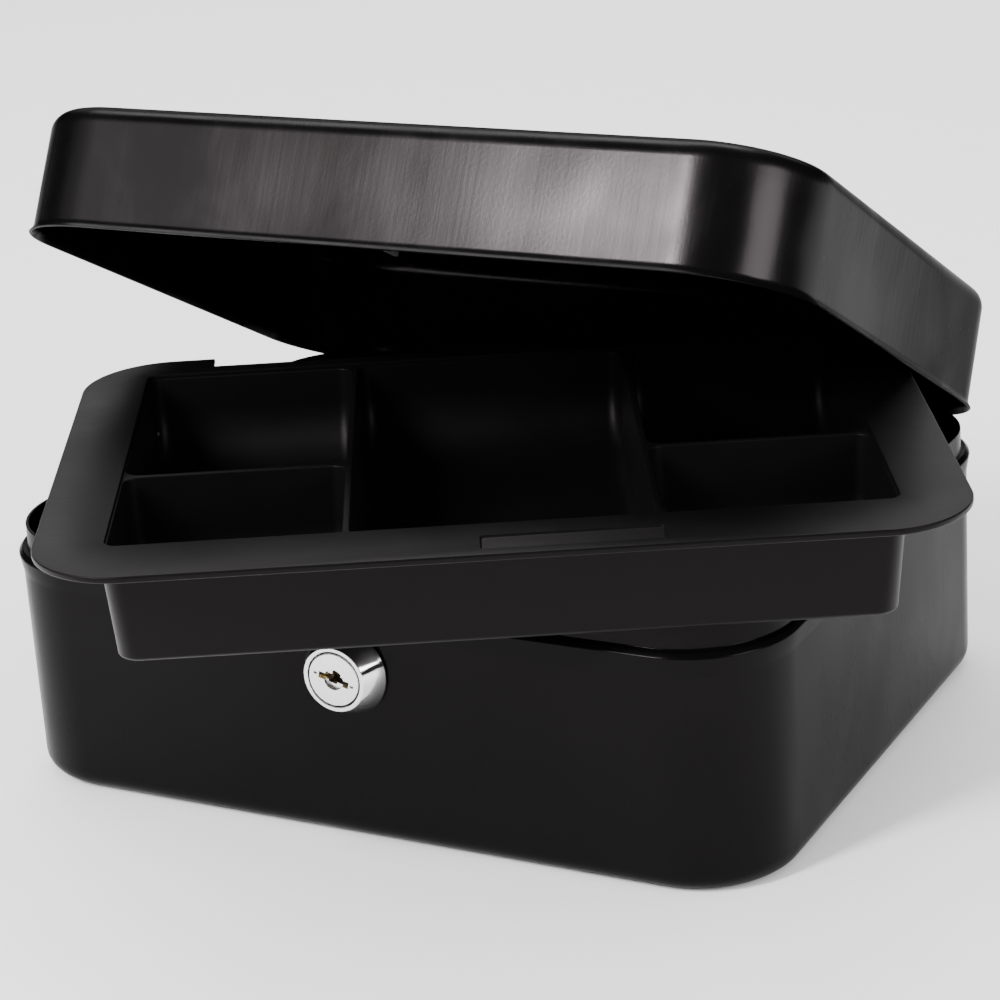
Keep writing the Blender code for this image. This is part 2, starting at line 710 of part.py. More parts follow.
def make_bracket(name, side, finish, pivot, height, floor, lid_cutter):
    """A saddle strap over the wire's end, with a foot each way."""
    inner = HANDLE_WIRE + GAP
    outer = inner + SHEET
    foot_low = floor + GAP
    foot_high = foot_low + SHEET
    y = HANDLE_AXIS_Y
    outline = [(y + BRACKET_FOOT, foot_low), (y + BRACKET_FOOT, foot_high), (y + outer, foot_high)]
    outline += arc((y, height), outer, 0, 180, 12)
    outline += [(y - outer, foot_high), (y - BRACKET_FOOT, foot_high), (y - BRACKET_FOOT, foot_low),
                (y - inner, foot_low)]
    outline += arc((y, height), inner, 180, 0, 12)
    outline += [(y + inner, foot_low)]
    bm = bmesh.new()
    x = side * BRACKET_X
    prism(bm, outline, x - BRACKET_HALF, x + BRACKET_HALF, "X")
    cut(to_object(name, bm, finish, pivot, (0, HINGE_Y, HINGE_Z)), lid_cutter)


def make_handle_parts(finish, pivot, handle_pivot, height, floor, lid_cutter):
    make_handle(finish, handle_pivot, height)
    for name, side in sides("handle_bracket"):
        make_bracket(name, side, finish, pivot, height, floor, lid_cutter)
    for number, (x, y) in enumerate(handle_rivet_spots(), start=1):
        bm = bmesh.new()
        rivet(bm, (x, y, 0), "Z", floor + 2 * GAP + SHEET, floor - SHEET - GAP, 0.0009, 0.0018, 0.0016, 0.0008)
        to_object(f"handle_rivet_{number}", bm, finish, pivot, (0, HINGE_Y, HINGE_Z))


# ---- lock ---------------------------------------------------------------------------
def make_lock_housing(finish):
    """Conical head outside the wall, a flatted barrel through it, bored for the plug."""
    wall = -DEPTH / 2 - GAP
    bore = PLUG_RADIUS + GAP
    edge = 0.0004
    bm = bmesh.new()
    outer = [
        (LOCK_FACE_Y + 0.0001, bore + 0.0002),
        (LOCK_FACE_Y, bore + 0.0004),
        (LOCK_FACE_Y, LOCK_FACE_RADIUS - edge),
        (LOCK_FACE_Y + edge * 0.4, LOCK_FACE_RADIUS),
        (wall - edge, LOCK_HEAD_RADIUS),
        (wall, LOCK_HEAD_RADIUS - edge * 0.5),
        (wall, LOCK_BARREL_RADIUS),
        (LOCK_BARREL_END - edge, LOCK_BARREL_RADIUS),
        (LOCK_BARREL_END, LOCK_BARREL_RADIUS - edge),
    ]
    inner = [(LOCK_BARREL_END, bore), (LOCK_FACE_Y + 0.0005, bore)]
    turned_ring(bm, outer, inner, (0, 0, LOCK_Z), "Y", 40)
    housing = to_object("lock_housing", bm, finish)
    bm = bmesh.new()
    reach = LOCK_BARREL_RADIUS + 0.002
    for side in (-1, 1):
        near, far = sorted((side * LOCK_FLAT, side * reach))
        block(bm, (near, wall, LOCK_Z - reach), (far, LOCK_BARREL_END + 0.001, LOCK_Z + reach))
    cut(housing, cutter("barrel_flat_cutter", bm))


def make_plug(finish, plug_pivot):
    """Modelled with its keyway upright, as when locked."""
    axis = (0, 0, LOCK_Z)
    edge = 0.0002
    bm = bmesh.new()
    profile = [(LOCK_FACE_Y, 0), (LOCK_FACE_Y, PLUG_RADIUS - edge), (LOCK_FACE_Y + edge, PLUG_RADIUS),
               (PLUG_END, PLUG_RADIUS), (PLUG_END, 0)]
    turned(bm, profile, axis, "Y", 36)
    plug = to_object("lock_plug", bm, finish, plug_pivot, axis)
    bm = bmesh.new()
    tail = PLUG_TAIL_HALF
    block(bm, (-tail, PLUG_END - 0.001, LOCK_Z - tail), (tail, PLUG_TAIL_END, LOCK_Z + tail))
    cut(plug, cutter("plug_tail_union", bm, plug_pivot, axis), "UNION")
    bm = bmesh.new()
    width, height = KEYWAY
    block(bm, (-width / 2, LOCK_FACE_Y - 0.001, LOCK_Z - height / 2), (width / 2, KEYWAY_END, LOCK_Z + height / 2))
    cut(plug, cutter("keyway_cutter", bm, plug_pivot, axis))
    bm = bmesh.new()
    slot_x, slot_y = WAFER[0] / 2 + GAP, WAFER[1] / 2 + GAP
    reach = PLUG_RADIUS + 0.001
    for y in WAFER_Y:
        outline = [(-slot_x, LOCK_Z - reach), (slot_x, LOCK_Z - reach), (slot_x, LOCK_Z + SPRING_LOW - GAP),
                   (slot_x + WAFER_EAR[0], LOCK_Z + SPRING_LOW - GAP),
                   (slot_x + WAFER_EAR[0], LOCK_Z + WAFER_EAR[2] + WAFER_EAR[1] + 0.0012),
                   (slot_x, LOCK_Z + WAFER_EAR[2] + WAFER_EAR[1] + 0.0012),
                   (slot_x, LOCK_Z + reach), (-slot_x, LOCK_Z + reach)]
        prism(bm, outline, y - slot_y, y + slot_y)
    cut(plug, cutter("wafer_slot_cutter", bm, plug_pivot, axis))
    bm = bmesh.new()
    shank, length = SCREW_SHANK
    hole = [(PLUG_TAIL_END - 0.0013, 0), (PLUG_TAIL_END - 0.0013, shank * 0.6),
            (PLUG_TAIL_END - 0.0011, shank * 0.6 + GAP), (PLUG_TAIL_END + 0.001, shank * 0.6 + GAP),
            (PLUG_TAIL_END + 0.001, 0)]
    turned(bm, hole, axis, "Y", 20)
    cut(plug, cutter("screw_hole_cutter", bm, plug_pivot, axis))


def make_wafer(number, y, finish, plug_pivot):
    width, thick, height = WAFER
    gate_x, gate_z = WAFER_WINDOW
    reach, ear, under = WAFER_EAR
    half, tall = width / 2, height / 2
    window_high = gate_z / 2 - 0.0004 * (number % 3)
    bm = bmesh.new()
    outer = [(-half, -tall), (half, -tall), (half, under), (half + reach - GAP, under),
             (half + reach - GAP, under + ear), (half, under + ear), (half, tall), (-half, tall)]
    inner = [(-gate_x / 2, -gate_z / 2), (gate_x / 2, -gate_z / 2),
             (gate_x / 2, window_high), (-gate_x / 2, window_high)]
    faces = []
    for level in (y - thick / 2, y + thick / 2):
        rings = [[bm.verts.new((x, level, LOCK_Z + z)) for x, z in ring] for ring in (outer, inner)]
        fill_between(bm, *rings)
        faces.append(rings)
    for near, far in zip(*faces):
        bridge(bm, near, far)
    to_object(f"lock_wafer_{number}", bm, finish, plug_pivot, (0, 0, LOCK_Z))


def make_wafer_spring(number, y, finish, plug_pivot):
    """A small coil that stands under the wafer's ear."""
    low = SPRING_LOW + SPRING_WIRE
    high = WAFER_EAR[2] - GAP - SPRING_WIRE
    round_steps, wire_steps = 8, 5
    count = SPRING_TURNS * round_steps
    bm = bmesh.new()
    loops = []
    for i in range(count + 1):
        angle = 2 * math.pi * i / round_steps
        rise = low + (high - low) * i / count
        outward = Vector((math.cos(angle), math.sin(angle), 0))
        centre = Vector((SPRING_X, y, LOCK_Z + rise)) + outward * SPRING_RADIUS
        loops.append([
            bm.verts.new(centre
                         + outward * SPRING_WIRE * math.cos(2 * math.pi * k / wire_steps)
                         + Vector((0, 0, 1)) * SPRING_WIRE * math.sin(2 * math.pi * k / wire_steps))
            for k in range(wire_steps)
        ])
    loft(bm, loops)
    to_object(f"wafer_spring_{number}", bm, finish, plug_pivot, (0, 0, LOCK_Z))


def make_lock_fixings(finish):
    wall = -DEPTH / 2 + SHEET
    bore = LOCK_BARREL_RADIUS + GAP
    radius, thick = WASHER
    near = wall + GAP
    bm = bmesh.new()
    turned_ring(bm, [(near, radius), (near + thick, radius)], [(near + thick, bore), (near, bore)],
                (0, 0, LOCK_Z), "Y", 32)
    to_object("lock_washer", bm, finish)
    corner, thick = NUT
    near += WASHER[1] + GAP
    hexagon = arc((0, 0), corner, 30, 330, 5)
    hole = arc((0, 0), bore, 0, 360 * 35 / 36, 35)
    bm = bmesh.new()
    faces = []
    for level in (near, near + thick):
        rings = [[bm.verts.new((x, level, LOCK_Z + z)) for x, z in ring] for ring in (hexagon, hole)]
        fill_between(bm, *rings)
        faces.append(rings)
    for first, second in zip(*faces):
        bridge(bm, first, second)
    to_object("lock_nut", bm, finish)


def cam_outline():
    """The cam with its arm up, as when locked, about the lock's axis in (x, z)."""
    left, right = CAM_ARM
    start = math.degrees(math.atan2(math.sqrt(CAM_HUB ** 2 - left ** 2), left))
    end = math.degrees(math.atan2(math.sqrt(CAM_HUB ** 2 - right ** 2), right)) + 360
    hub = arc((0, 0), CAM_HUB, start, end, 18)
    under_hook = CAM_REACH - CAM_HOOK_THICK
    hook = [(right, under_hook), (CAM_HOOK, under_hook), (CAM_HOOK, CAM_REACH - 0.0004),
            (CAM_HOOK - 0.0004, CAM_REACH), (left + 0.0015, CAM_REACH), (left, CAM_REACH - 0.0015)]
    return [(x, LOCK_Z + z) for x, z in hub + hook]


def make_cam(finish, plug_pivot):
    hole = PLUG_TAIL_HALF + GAP
    square = [(-hole, -hole), (hole, -hole), (hole, hole), (-hole, hole)]
    outline = cam_outline()
    bm = bmesh.new()
    faces = []
    for level in (CAM_FRONT, CAM_FRONT + CAM_THICK):
        outer = [bm.verts.new((x, level, z)) for x, z in outline]
        inner = [bm.verts.new((x, level, LOCK_Z + z)) for x, z in square]
        fill_between(bm, outer, inner)
        faces.append((outer, inner))
    for first, second in zip(*faces):
        bridge(bm, first, second)
    to_object("lock_cam", bm, finish, plug_pivot, (0, 0, LOCK_Z))


def make_cam_screw(finish, plug_pivot):
    head, rise = SCREW_HEAD
    shank = SCREW_SHANK[0] * 0.6
    seat = CAM_FRONT + CAM_THICK + GAP
    end = PLUG_TAIL_END - 0.0008
    bm = bmesh.new()
    profile = [(end, 0), (end, shank), (seat, shank), (seat, head), (seat + rise * 0.6, head),
               (seat + rise, head * 0.75), (seat + rise, 0)]
    turned(bm, profile, (0, 0, LOCK_Z), "Y", 24)
    screw = to_object("cam_screw", bm, finish, plug_pivot, (0, 0, LOCK_Z))
    bm = bmesh.new()
    block(bm, (-0.0004, seat + rise * 0.5, LOCK_Z - head - 0.001), (0.0004, seat + rise + 0.001, LOCK_Z + head + 0.001))
    cut(screw, cutter("screw_slot_cutter", bm, plug_pivot, (0, 0, LOCK_Z)))


# ---- coin tray ----------------------------------------------------------------------
def tray_flange_outline(inset=0.0):
    """Rounded rectangle whose rear side steps in between two ears."""
    x, y = TRAY_WIDTH / 2 - inset, TRAY_DEPTH / 2 - inset
    radius = TRAY_CORNER - inset
    points = rounded_outline(-x, x, -y, y, radius)
    first_corner = CORNER_STEPS + 1
    notch_y = y - TRAY_NOTCH_DEEP
    relief = 0.0006
    notch_x = TRAY_NOTCH_X + inset
    notch = [(notch_x, y), (notch_x, notch_y + relief), (notch_x - relief, notch_y),
             (-notch_x + relief, notch_y), (-notch_x, notch_y + relief), (-notch_x, y)]
    return points[:first_corner] + notch + points[first_corner:]


def pocket_rings(x_low, x_high, y_low, y_high, scoop):
    """Rings of one compartment from its mouth down. The rear wall runs into the floor in a
    wide scoop, and the other walls in a small fillet."""
    floor = -TRAY_HEIGHT + TRAY_WALL
    mouth = -TRAY_DIVIDER_DROP
    heights = [mouth - floor] + [scoop * (1 - math.sin(math.radians(a))) for a in (0, 18, 36, 52, 66)]
    heights += [POCKET_FILLET * (1 - math.sin(math.radians(a))) for a in (30, 60, 90)]
    heights = sorted(set(heights), reverse=True)

    def run_in(radius, height):
        if height >= radius:
            return 0.0
        return radius - math.sqrt(max(radius ** 2 - (radius - height) ** 2, 0.0))

    rings = []
    for height in heights:
        draft = POCKET_DRAFT * (1 - height / (mouth - floor))
        side = draft + run_in(POCKET_FILLET, height)
        rear = draft + run_in(scoop, height)
        outline = rounded_outline(x_low + side, x_high - side, y_low + side, y_high - rear,
                                  POCKET_FILLET, steps=4)
        rings.append((outline, floor + height))
    return rings


def tray_pockets():
    half = TRAY_WALL / 2
    left, right = -TRAY_OPEN_X + TRAY_LEDGE, TRAY_OPEN_X - TRAY_LEDGE
    front, rear = TRAY_OPEN_FRONT + TRAY_LEDGE, TRAY_OPEN_REAR - TRAY_LEDGE
    columns = [(left, -TRAY_DIVIDER_X - half), (TRAY_DIVIDER_X + half, right)]
    pockets = [(-TRAY_DIVIDER_X + half, TRAY_DIVIDER_X - half, front, rear, SCOOP_REAR)]
    for x_low, x_high in columns:
        pockets.append((x_low, x_high, front, TRAY_CROSS_Y - half, SCOOP_FRONT))
        pockets.append((x_low, x_high, TRAY_CROSS_Y + half, rear, SCOOP_REAR))
    return pockets


def make_tray(finish, tray_pivot):
    bm = bmesh.new()
    edge = 0.0003
    flange = [add_loop(bm, tray_flange_outline(edge), 0.0)]
    flange += [add_loop(bm, tray_flange_outline(0.0), z) for z in (-edge, -TRAY_FLANGE + edge)]
    flange += [add_loop(bm, tray_flange_outline(edge), -TRAY_FLANGE)]
    loft(bm, flange, cap_first=False, cap_last=False)

    mouth = rounded_outline(-TRAY_OPEN_X, TRAY_OPEN_X, TRAY_OPEN_FRONT, TRAY_OPEN_REAR, TRAY_OPEN_CORNER)
    mouth_top = add_loop(bm, mouth, 0.0)
    mouth_low = add_loop(bm, mouth, -TRAY_DIVIDER_DROP)
    bridge(bm, mouth_top, mouth_low)

    x_low, x_high, y_low, y_high = TRAY_PAD
    pad = [add_loop(bm, rounded_outline(x_low, x_high, y_low, y_high, 0.0008, steps=2), 0.0)]
    sunk = TRAY_PAD_DEEP
    pad.append(add_loop(bm, rounded_outline(x_low + sunk, x_high - sunk, y_low + sunk, y_high - sunk,
                                            0.0006, steps=2), -sunk))
    loft(bm, pad, cap_first=False)
    fill_between(bm, flange[0], mouth_top, pad[0])

    mouths = []
    for pocket in tray_pockets():
        loops = [add_loop(bm, outline, z) for outline, z in pocket_rings(*pocket)]
        loft(bm, loops, cap_first=False)
        mouths.append(loops[0])
    fill_between(bm, mouth_low, *mouths)

    tub = []
    depth = TRAY_HEIGHT - TRAY_FLANGE
    rounding = TRAY_FOOT_ROUND
    for height in (depth, rounding, rounding * 0.55, rounding * 0.2, 0.0):
        draft = TRAY_DRAFT * (1 - height / depth)
        turn_in = rounding - math.sqrt(max(rounding ** 2 - max(rounding - height, 0.0) ** 2, 0.0))
        if height >= rounding:
            turn_in = 0.0
        out = TRAY_WALL - draft - turn_in
        outline = rounded_outline(-TRAY_OPEN_X - out, TRAY_OPEN_X + out, TRAY_OPEN_FRONT - out,
                                  TRAY_OPEN_REAR + out, TRAY_OPEN_CORNER + TRAY_WALL + 0.0012)
        tub.append(add_loop(bm, outline, -TRAY_HEIGHT + height))
    loft(bm, tub, cap_first=False)
    fill_between(bm, flange[-1], tub[0])
    return to_object("coin_tray", bm, finish, tray_pivot)


# ---- assembly -----------------------------------------------------------------------
def main():
    clear_scene()
    black_paint = material("black_paint", (0.012, 0.012, 0.013), 0.32, 0.0)
    black_plastic = material("black_plastic", (0.022, 0.022, 0.023), 0.48, 0.0)
    chrome = material("chrome", (0.83, 0.83, 0.84), 0.10, 1.0)
    zinc = material("zinc_steel", (0.62, 0.62, 0.60), 0.36, 1.0)
    brass = material("brass", (0.72, 0.52, 0.22), 0.30, 1.0)

    lid_pivot = empty("lid_pivot", (0, HINGE_Y, HINGE_Z), turn=(-LID_OPEN_DEG, 0, 0))
    floor = LID_TOP - HANDLE_RECESS_DEEP
    wire_height = floor + GAP + HANDLE_WIRE
    handle_pivot = empty("handle_pivot", (0, HANDLE_AXIS_Y - HINGE_Y, wire_height - HINGE_Z), lid_pivot)
    plug_pivot = empty("plug_pivot", (0, 0, LOCK_Z), turn=(0, -PLUG_REST_DEG, 0))
    tray_pivot = empty("tray_pivot", TRAY_PLACE, turn=TRAY_TURN_DEG)

    base = make_base(black_paint)
    lock_hole, base_cutter = make_base_cutters()
    cut(base, lock_hole)
    cut(base, base_cutter)
    lid = make_lid(black_paint, lid_pivot)
    lid_cutter = make_lid_cutter(lid_pivot)
    cut(lid, lid_cutter)

    make_hinges(black_paint, zinc, lid_pivot, base_cutter, lid_cutter)
    make_catch(zinc, lid_pivot)
    make_handle_parts(chrome, lid_pivot, handle_pivot, wire_height, floor, lid_cutter)

    make_lock_housing(chrome)
    make_plug(chrome, plug_pivot)
    for number, y in enumerate(WAFER_Y, start=1):
        make_wafer(number, y, brass, plug_pivot)
        make_wafer_spring(number, y, brass, plug_pivot)
    make_lock_fixings(zinc)
    make_cam(zinc, plug_pivot)
    make_cam_screw(zinc, plug_pivot)

    make_tray(black_plastic, tray_pivot)


main()
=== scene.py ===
"""Looks of the steel cash box: finer meshes that stand for the CAD nodes, procedural
finishes, a pale studio floor with soft light, and the camera."""
import math

import bmesh
import bpy
from mathutils import Euler, Matrix, Vector


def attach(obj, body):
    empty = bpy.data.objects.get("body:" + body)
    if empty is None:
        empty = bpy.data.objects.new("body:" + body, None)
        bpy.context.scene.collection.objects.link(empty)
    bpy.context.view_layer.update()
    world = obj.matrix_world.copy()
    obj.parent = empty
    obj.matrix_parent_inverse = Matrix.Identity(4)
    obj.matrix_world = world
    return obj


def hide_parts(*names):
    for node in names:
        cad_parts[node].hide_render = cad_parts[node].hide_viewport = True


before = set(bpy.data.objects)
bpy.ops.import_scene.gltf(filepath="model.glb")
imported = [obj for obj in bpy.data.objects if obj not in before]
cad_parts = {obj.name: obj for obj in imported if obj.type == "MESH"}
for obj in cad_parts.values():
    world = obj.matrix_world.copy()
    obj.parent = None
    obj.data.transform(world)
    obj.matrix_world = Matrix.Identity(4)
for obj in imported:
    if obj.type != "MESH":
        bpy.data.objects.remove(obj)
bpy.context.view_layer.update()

# ---- dimensions, in metres ----------------------------------------------------------
GAP = 0.0003
SHEET = 0.0008
WIDTH, DEPTH = 0.200, 0.160
BASE_CORNER = 0.024
LID_TOP = 0.0884
LID_SKIRT = 0.0301
LID_CORNER = 0.0255
LID_FILLET = 0.0048
HINGE_Y, HINGE_Z, HINGE_X = 0.08260, 0.0596, 0.0444
LOCK_Z = 0.0430
HANDLE_AXIS_Y = 0.0090
LID_OPEN = math.radians(-28.8)
PLUG_REST = math.radians(-75.5)
TRAY_PLACE = Vector((0.0264, -0.0504, 0.09185))
TRAY_TURN = Euler([math.radians(a) for a in (0.2, 0.45, 28.7)])
RECESS_FLOOR = LID_TOP - 0.0042
WIRE_HEIGHT = RECESS_FLOOR + GAP + 0.0022

HINGE_PIN = Vector((0, HINGE_Y, HINGE_Z))
LOCK_AXIS = Vector((0, 0, LOCK_Z))


def turn_about(point, angle, axis):
    return Matrix.Translation(point) @ Matrix.Rotation(angle, 4, axis) @ Matrix.Translation(-point)


LID_PLACE = turn_about(HINGE_PIN, LID_OPEN, "X")
PLACES = {
    "base": Matrix.Identity(4),
    "lid": LID_PLACE,
    "handle": LID_PLACE,
    "plug": turn_about(LOCK_AXIS, PLUG_REST, "Y"),
    "tray": Matrix.Translation(TRAY_PLACE) @ TRAY_TURN.to_matrix().to_4x4(),
}


# ---- node helpers -------------------------------------------------------------------
class Nodes:
    """A short way to write a material's node tree."""

    def __init__(self, name):
        self.material = bpy.data.materials.new(name)
        self.material.use_nodes = True
        self.tree = self.material.node_tree
        self.shader = self.tree.nodes["Principled BSDF"]

    def add(self, kind, links=(), **values):
        node = self.tree.nodes.new(kind)
        for key, value in values.items():
            setattr(node, key, value)
        for key, value in dict(links).items():
            self.put(node.inputs[key], value)
        return node

    def put(self, socket, value):
        if isinstance(value, bpy.types.NodeSocket):
            self.tree.links.new(value, socket)
        else:
            socket.default_value = value

    def set(self, **values):
        for key, value in values.items():
            self.put(self.shader.inputs[key.replace("_", " ")], value)

    def coords(self, scale=(1, 1, 1), turn=(0, 0, 0)):
        source = self.add("ShaderNodeTexCoord").outputs["Object"]
        mapping = self.add("ShaderNodeMapping", {"Vector": source, "Scale": scale, "Rotation": turn})
        return mapping.outputs["Vector"]

    def noise(self, vector, scale, detail=2.0, rough=0.5, distortion=0.0):
        return self.add("ShaderNodeTexNoise", {
            "Vector": vector, "Scale": scale, "Detail": detail, "Roughness": rough,
            "Distortion": distortion}).outputs["Fac"]

    def math(self, operation, first, second=0.0):
        node = self.add("ShaderNodeMath", operation=operation)
        for socket, value in zip(node.inputs, (first, second)):
            self.put(socket, value)
        return node.outputs[0]

    def span(self, value, low, high, to_low, to_high):
        return self.add("ShaderNodeMapRange", {
            "Value": value, "From Min": low, "From Max": high, "To Min": to_low,
            "To Max": to_high}).outputs["Result"]

    def mix(self, factor, first, second):
        node = self.add("ShaderNodeMix", data_type="RGBA")
        for place, value in ((0, factor), (6, first), (7, second)):
            self.put(node.inputs[place], value)
        return node.outputs[2]

    def bump(self, height, strength, distance, normal=None):
        links = {"Height": height, "Strength": strength, "Distance": distance}
        if normal is not None:
            links["Normal"] = normal
        return self.add("ShaderNodeBump", links).outputs["Normal"]

    def specks(self, scale, share, size):
        """1 inside sparse small round spots, 0 elsewhere."""
        cells = self.add("ShaderNodeTexVoronoi", {"Vector": self.coords(), "Scale": scale}, feature="F1")
        near = self.math("LESS_THAN", cells.outputs["Distance"], size)
        pick = self.add("ShaderNodeSeparateColor", {"Color": cells.outputs["Color"]})
        return self.math("MULTIPLY", near, self.math("LESS_THAN", pick.outputs[0], share))


def grey(level, warmth=0.0):
    return (level * (1 + warmth), level, level * (1 - warmth), 1.0)


SHEEN = (1.0, 0.90, 0.925, 1.0)     # the black finishes shine a little warm


def enamel(name, wobble, streaks, gloss=0.07, grazing=0.07):
    """Baked black enamel on drawn sheet: slight orange peel, soft waves, draw lines.
    Gloss is the reflection seen square on, and grazing the one at low angles."""
    n = Nodes(name)
    wide = n.noise(n.coords(), 16, 2, 0.5)
    peel = n.noise(n.coords(), 1100, 2, 0.5)
    lines = n.noise(n.coords((620, 620, 14)), 1.0, 4, 0.65)
    patch = n.noise(n.coords((1, 1, 0.6)), 34, 3, 0.6, 0.5)
    drawn = n.math("MULTIPLY", lines, n.span(patch, 0.42, 0.66, 0.25, 1.0))
    streaked = n.math("MULTIPLY", drawn, 0.04 + 0.10 * streaks)
    rough = n.math("ADD", n.span(patch, 0.35, 0.65, 0.21, 0.27), streaked)
    dust = n.specks(210, 0.02, 0.045)
    colour = n.mix(n.span(wide, 0.3, 0.7, 0.0, 1.0), grey(0.0014, 0.02), grey(0.0020, 0.02))
    colour = n.mix(dust, colour, grey(0.05))
    normal = n.bump(wide, 0.55 * wobble, 0.0022)
    normal = n.bump(drawn, 0.08 + 0.5 * streaks, 0.00006, normal)
    normal = n.bump(peel, 0.11, 0.00010, normal)
    rough = n.math("ADD", rough, n.math("MULTIPLY", dust, 0.3))
    n.set(Base_Color=colour, Roughness=rough, Normal=normal)
    facing = n.add("ShaderNodeLayerWeight", {"Blend": 0.5}).outputs["Facing"]
    n.put(n.shader.inputs["Specular IOR Level"], n.span(facing, 0.2, 0.7, gloss, grazing))
    n.put(n.shader.inputs["Specular Tint"], SHEEN)
    return n.material


def plastic(name, grazing=0.26):
    """Satin black moulded plastic with a fine drawn grain and a little dust."""
    n = Nodes(name)
    grain = n.noise(n.coords((260, 1500, 1500)), 1.0, 2, 0.6)
    peel = n.noise(n.coords(), 1400, 2, 0.6)
    cloud = n.noise(n.coords(), 26, 3, 0.6)
    dust = n.specks(170, 0.03, 0.07)
    colour = n.mix(cloud, grey(0.0016, 0.01), grey(0.0024, 0.01))
    colour = n.mix(dust, colour, grey(0.06))
    rough = n.math("ADD", n.span(cloud, 0.3, 0.7, 0.36, 0.44), n.math("MULTIPLY", grain, 0.10))
    normal = n.bump(cloud, 0.30, 0.0008)
    normal = n.bump(grain, 0.35, 0.00006, normal)
    normal = n.bump(peel, 0.22, 0.00006, normal)
    n.set(Base_Color=colour, Roughness=rough, Normal=normal)
    facing = n.add("ShaderNodeLayerWeight", {"Blend": 0.5}).outputs["Facing"]
    n.put(n.shader.inputs["Specular IOR Level"], n.span(facing, 0.2, 0.7, 0.09, grazing))
    n.put(n.shader.inputs["Specular Tint"], SHEEN)
    return n.material


def plated(name):
    """Bright nickel-chrome plating with faint haze and pits."""
    n = Nodes(name)
    haze = n.noise(n.coords(), 420, 3, 0.6)
    fine = n.noise(n.coords(), 3000, 2, 0.5)
    n.set(
        Base_Color=n.mix(haze, grey(0.80, 0.004), grey(0.86, 0.004)),
        Metallic=1.0,
        Roughness=n.span(haze, 0.3, 0.7, 0.07, 0.14),
        Normal=n.bump(fine, 0.10, 0.00002),
    )
    return n.material


def faced(name):
    """The lock's face: plated over a turned surface, so it is a satin, near-white metal."""
    n = Nodes(name)
    source = n.add("ShaderNodeTexCoord").outputs["Object"]
    apart = n.add("ShaderNodeSeparateXYZ", {"Vector": source})
    height = n.math("SUBTRACT", apart.outputs[2], LOCK_Z)
    squares = [n.math("POWER", value, 2.0) for value in (apart.outputs[0], height)]
    radius = n.math("SQRT", n.math("ADD", *squares))
    rings = n.math("SINE", n.math("MULTIPLY", radius, 42000.0))
    haze = n.noise(n.coords(), 700, 3, 0.6)
    n.set(
        Base_Color=n.mix(haze, grey(0.72), grey(0.88)),
        Metallic=1.0,
        Roughness=n.span(haze, 0.3, 0.7, 0.24, 0.36),
        Normal=n.bump(rings, 0.10, 0.00001),
    )
    return n.material


def zinc(name):
    """Zinc-plated steel: dull, with crystalline patches."""
    n = Nodes(name)
    patches = n.add("ShaderNodeTexVoronoi", {"Vector": n.coords(), "Scale": 700.0}, feature="F1")
    pick = n.add("ShaderNodeSeparateColor", {"Color": patches.outputs["Color"]}).outputs[0]
    fine = n.noise(n.coords(), 1600, 3, 0.6)
    n.set(
        Base_Color=n.mix(pick, (0.46, 0.47, 0.46, 1), (0.62, 0.62, 0.60, 1)),
        Metallic=1.0,
        Roughness=n.span(fine, 0.3, 0.7, 0.30, 0.46),
        Normal=n.bump(fine, 0.2, 0.00003),
    )
    return n.material


def brass_finish(name):
    n = Nodes(name)
    tarnish = n.noise(n.coords(), 900, 3, 0.6)
    n.set(
        Base_Color=n.mix(tarnish, (0.50, 0.30, 0.10, 1), (0.80, 0.58, 0.24, 1)),
        Metallic=1.0,
        Roughness=n.span(tarnish, 0.3, 0.7, 0.22, 0.38),
        Normal=n.bump(tarnish, 0.2, 0.00002),
    )
    return n.material


# ---- mesh helpers -------------------------------------------------------------------
SHARP_FROM_DEG = 30


def rounded_outline(x_low, x_high, y_low, y_high, radius, rear_stops=(), steps=20):
    """Counter-clockwise rounded rectangle, from its right side's rear end."""
    centres = [
        (x_high - radius, y_high - radius),
        (x_low + radius, y_high - radius),
        (x_low + radius, y_low + radius),
        (x_high - radius, y_low + radius),
    ]
    middle = (x_low + x_high) / 2
    straight = (x_high - x_low) / 2 - radius
    points = []
    for quarter, (cx, cy) in enumerate(centres):
        for step in range(steps + 1):
            angle = math.pi / 2 * (quarter + step / steps)
            points.append((cx + radius * math.cos(angle), cy + radius * math.sin(angle)))
        if quarter == 0:
            points += [(middle + share * straight, y_high) for share in rear_stops]
    return points


def centred_outline(width, depth, radius, rear_stops=()):
    return rounded_outline(-width / 2, width / 2, -depth / 2, depth / 2, radius, rear_stops)


def rounded_path(corners):
    """Open polyline through (a, b, radius) corners, each corner with a radius made an arc."""
    points = []
    last = len(corners) - 1
    for i, (a, b, radius) in enumerate(corners):
        here = Vector((a, b))
        if radius <= 0 or i in (0, last):
            points.append(tuple(here))
            continue
        before = (Vector(corners[i - 1][:2]) - here).normalized()
        after = (Vector(corners[i + 1][:2]) - here).normalized()
        opening = before.angle(after)
        if opening > math.pi - 0.02:
            points.append(tuple(here))
            continue
        reach = radius / math.tan(opening / 2)
        centre = here + (before + after).normalized() * radius / math.sin(opening / 2)
        start = here + before * reach - centre
        sweep = (here + after * reach - centre).angle_signed(start)
        steps = max(2, round(abs(sweep) / math.radians(15)))
        for step in range(steps + 1):
            turned = Matrix.Rotation(sweep * step / steps, 2) @ start
            points.append(tuple(centre + turned))
    return points


def add_loop(bm, outline, z):
    heights = z if hasattr(z, "__len__") else [z] * len(outline)
    return [bm.verts.new((x, y, h)) for (x, y), h in zip(outline, heights)]


def bridge(bm, lower, upper):
    for i in range(len(lower)):
        j = (i + 1) % len(lower)
        bm.faces.new((lower[i], lower[j], upper[j], upper[i]))


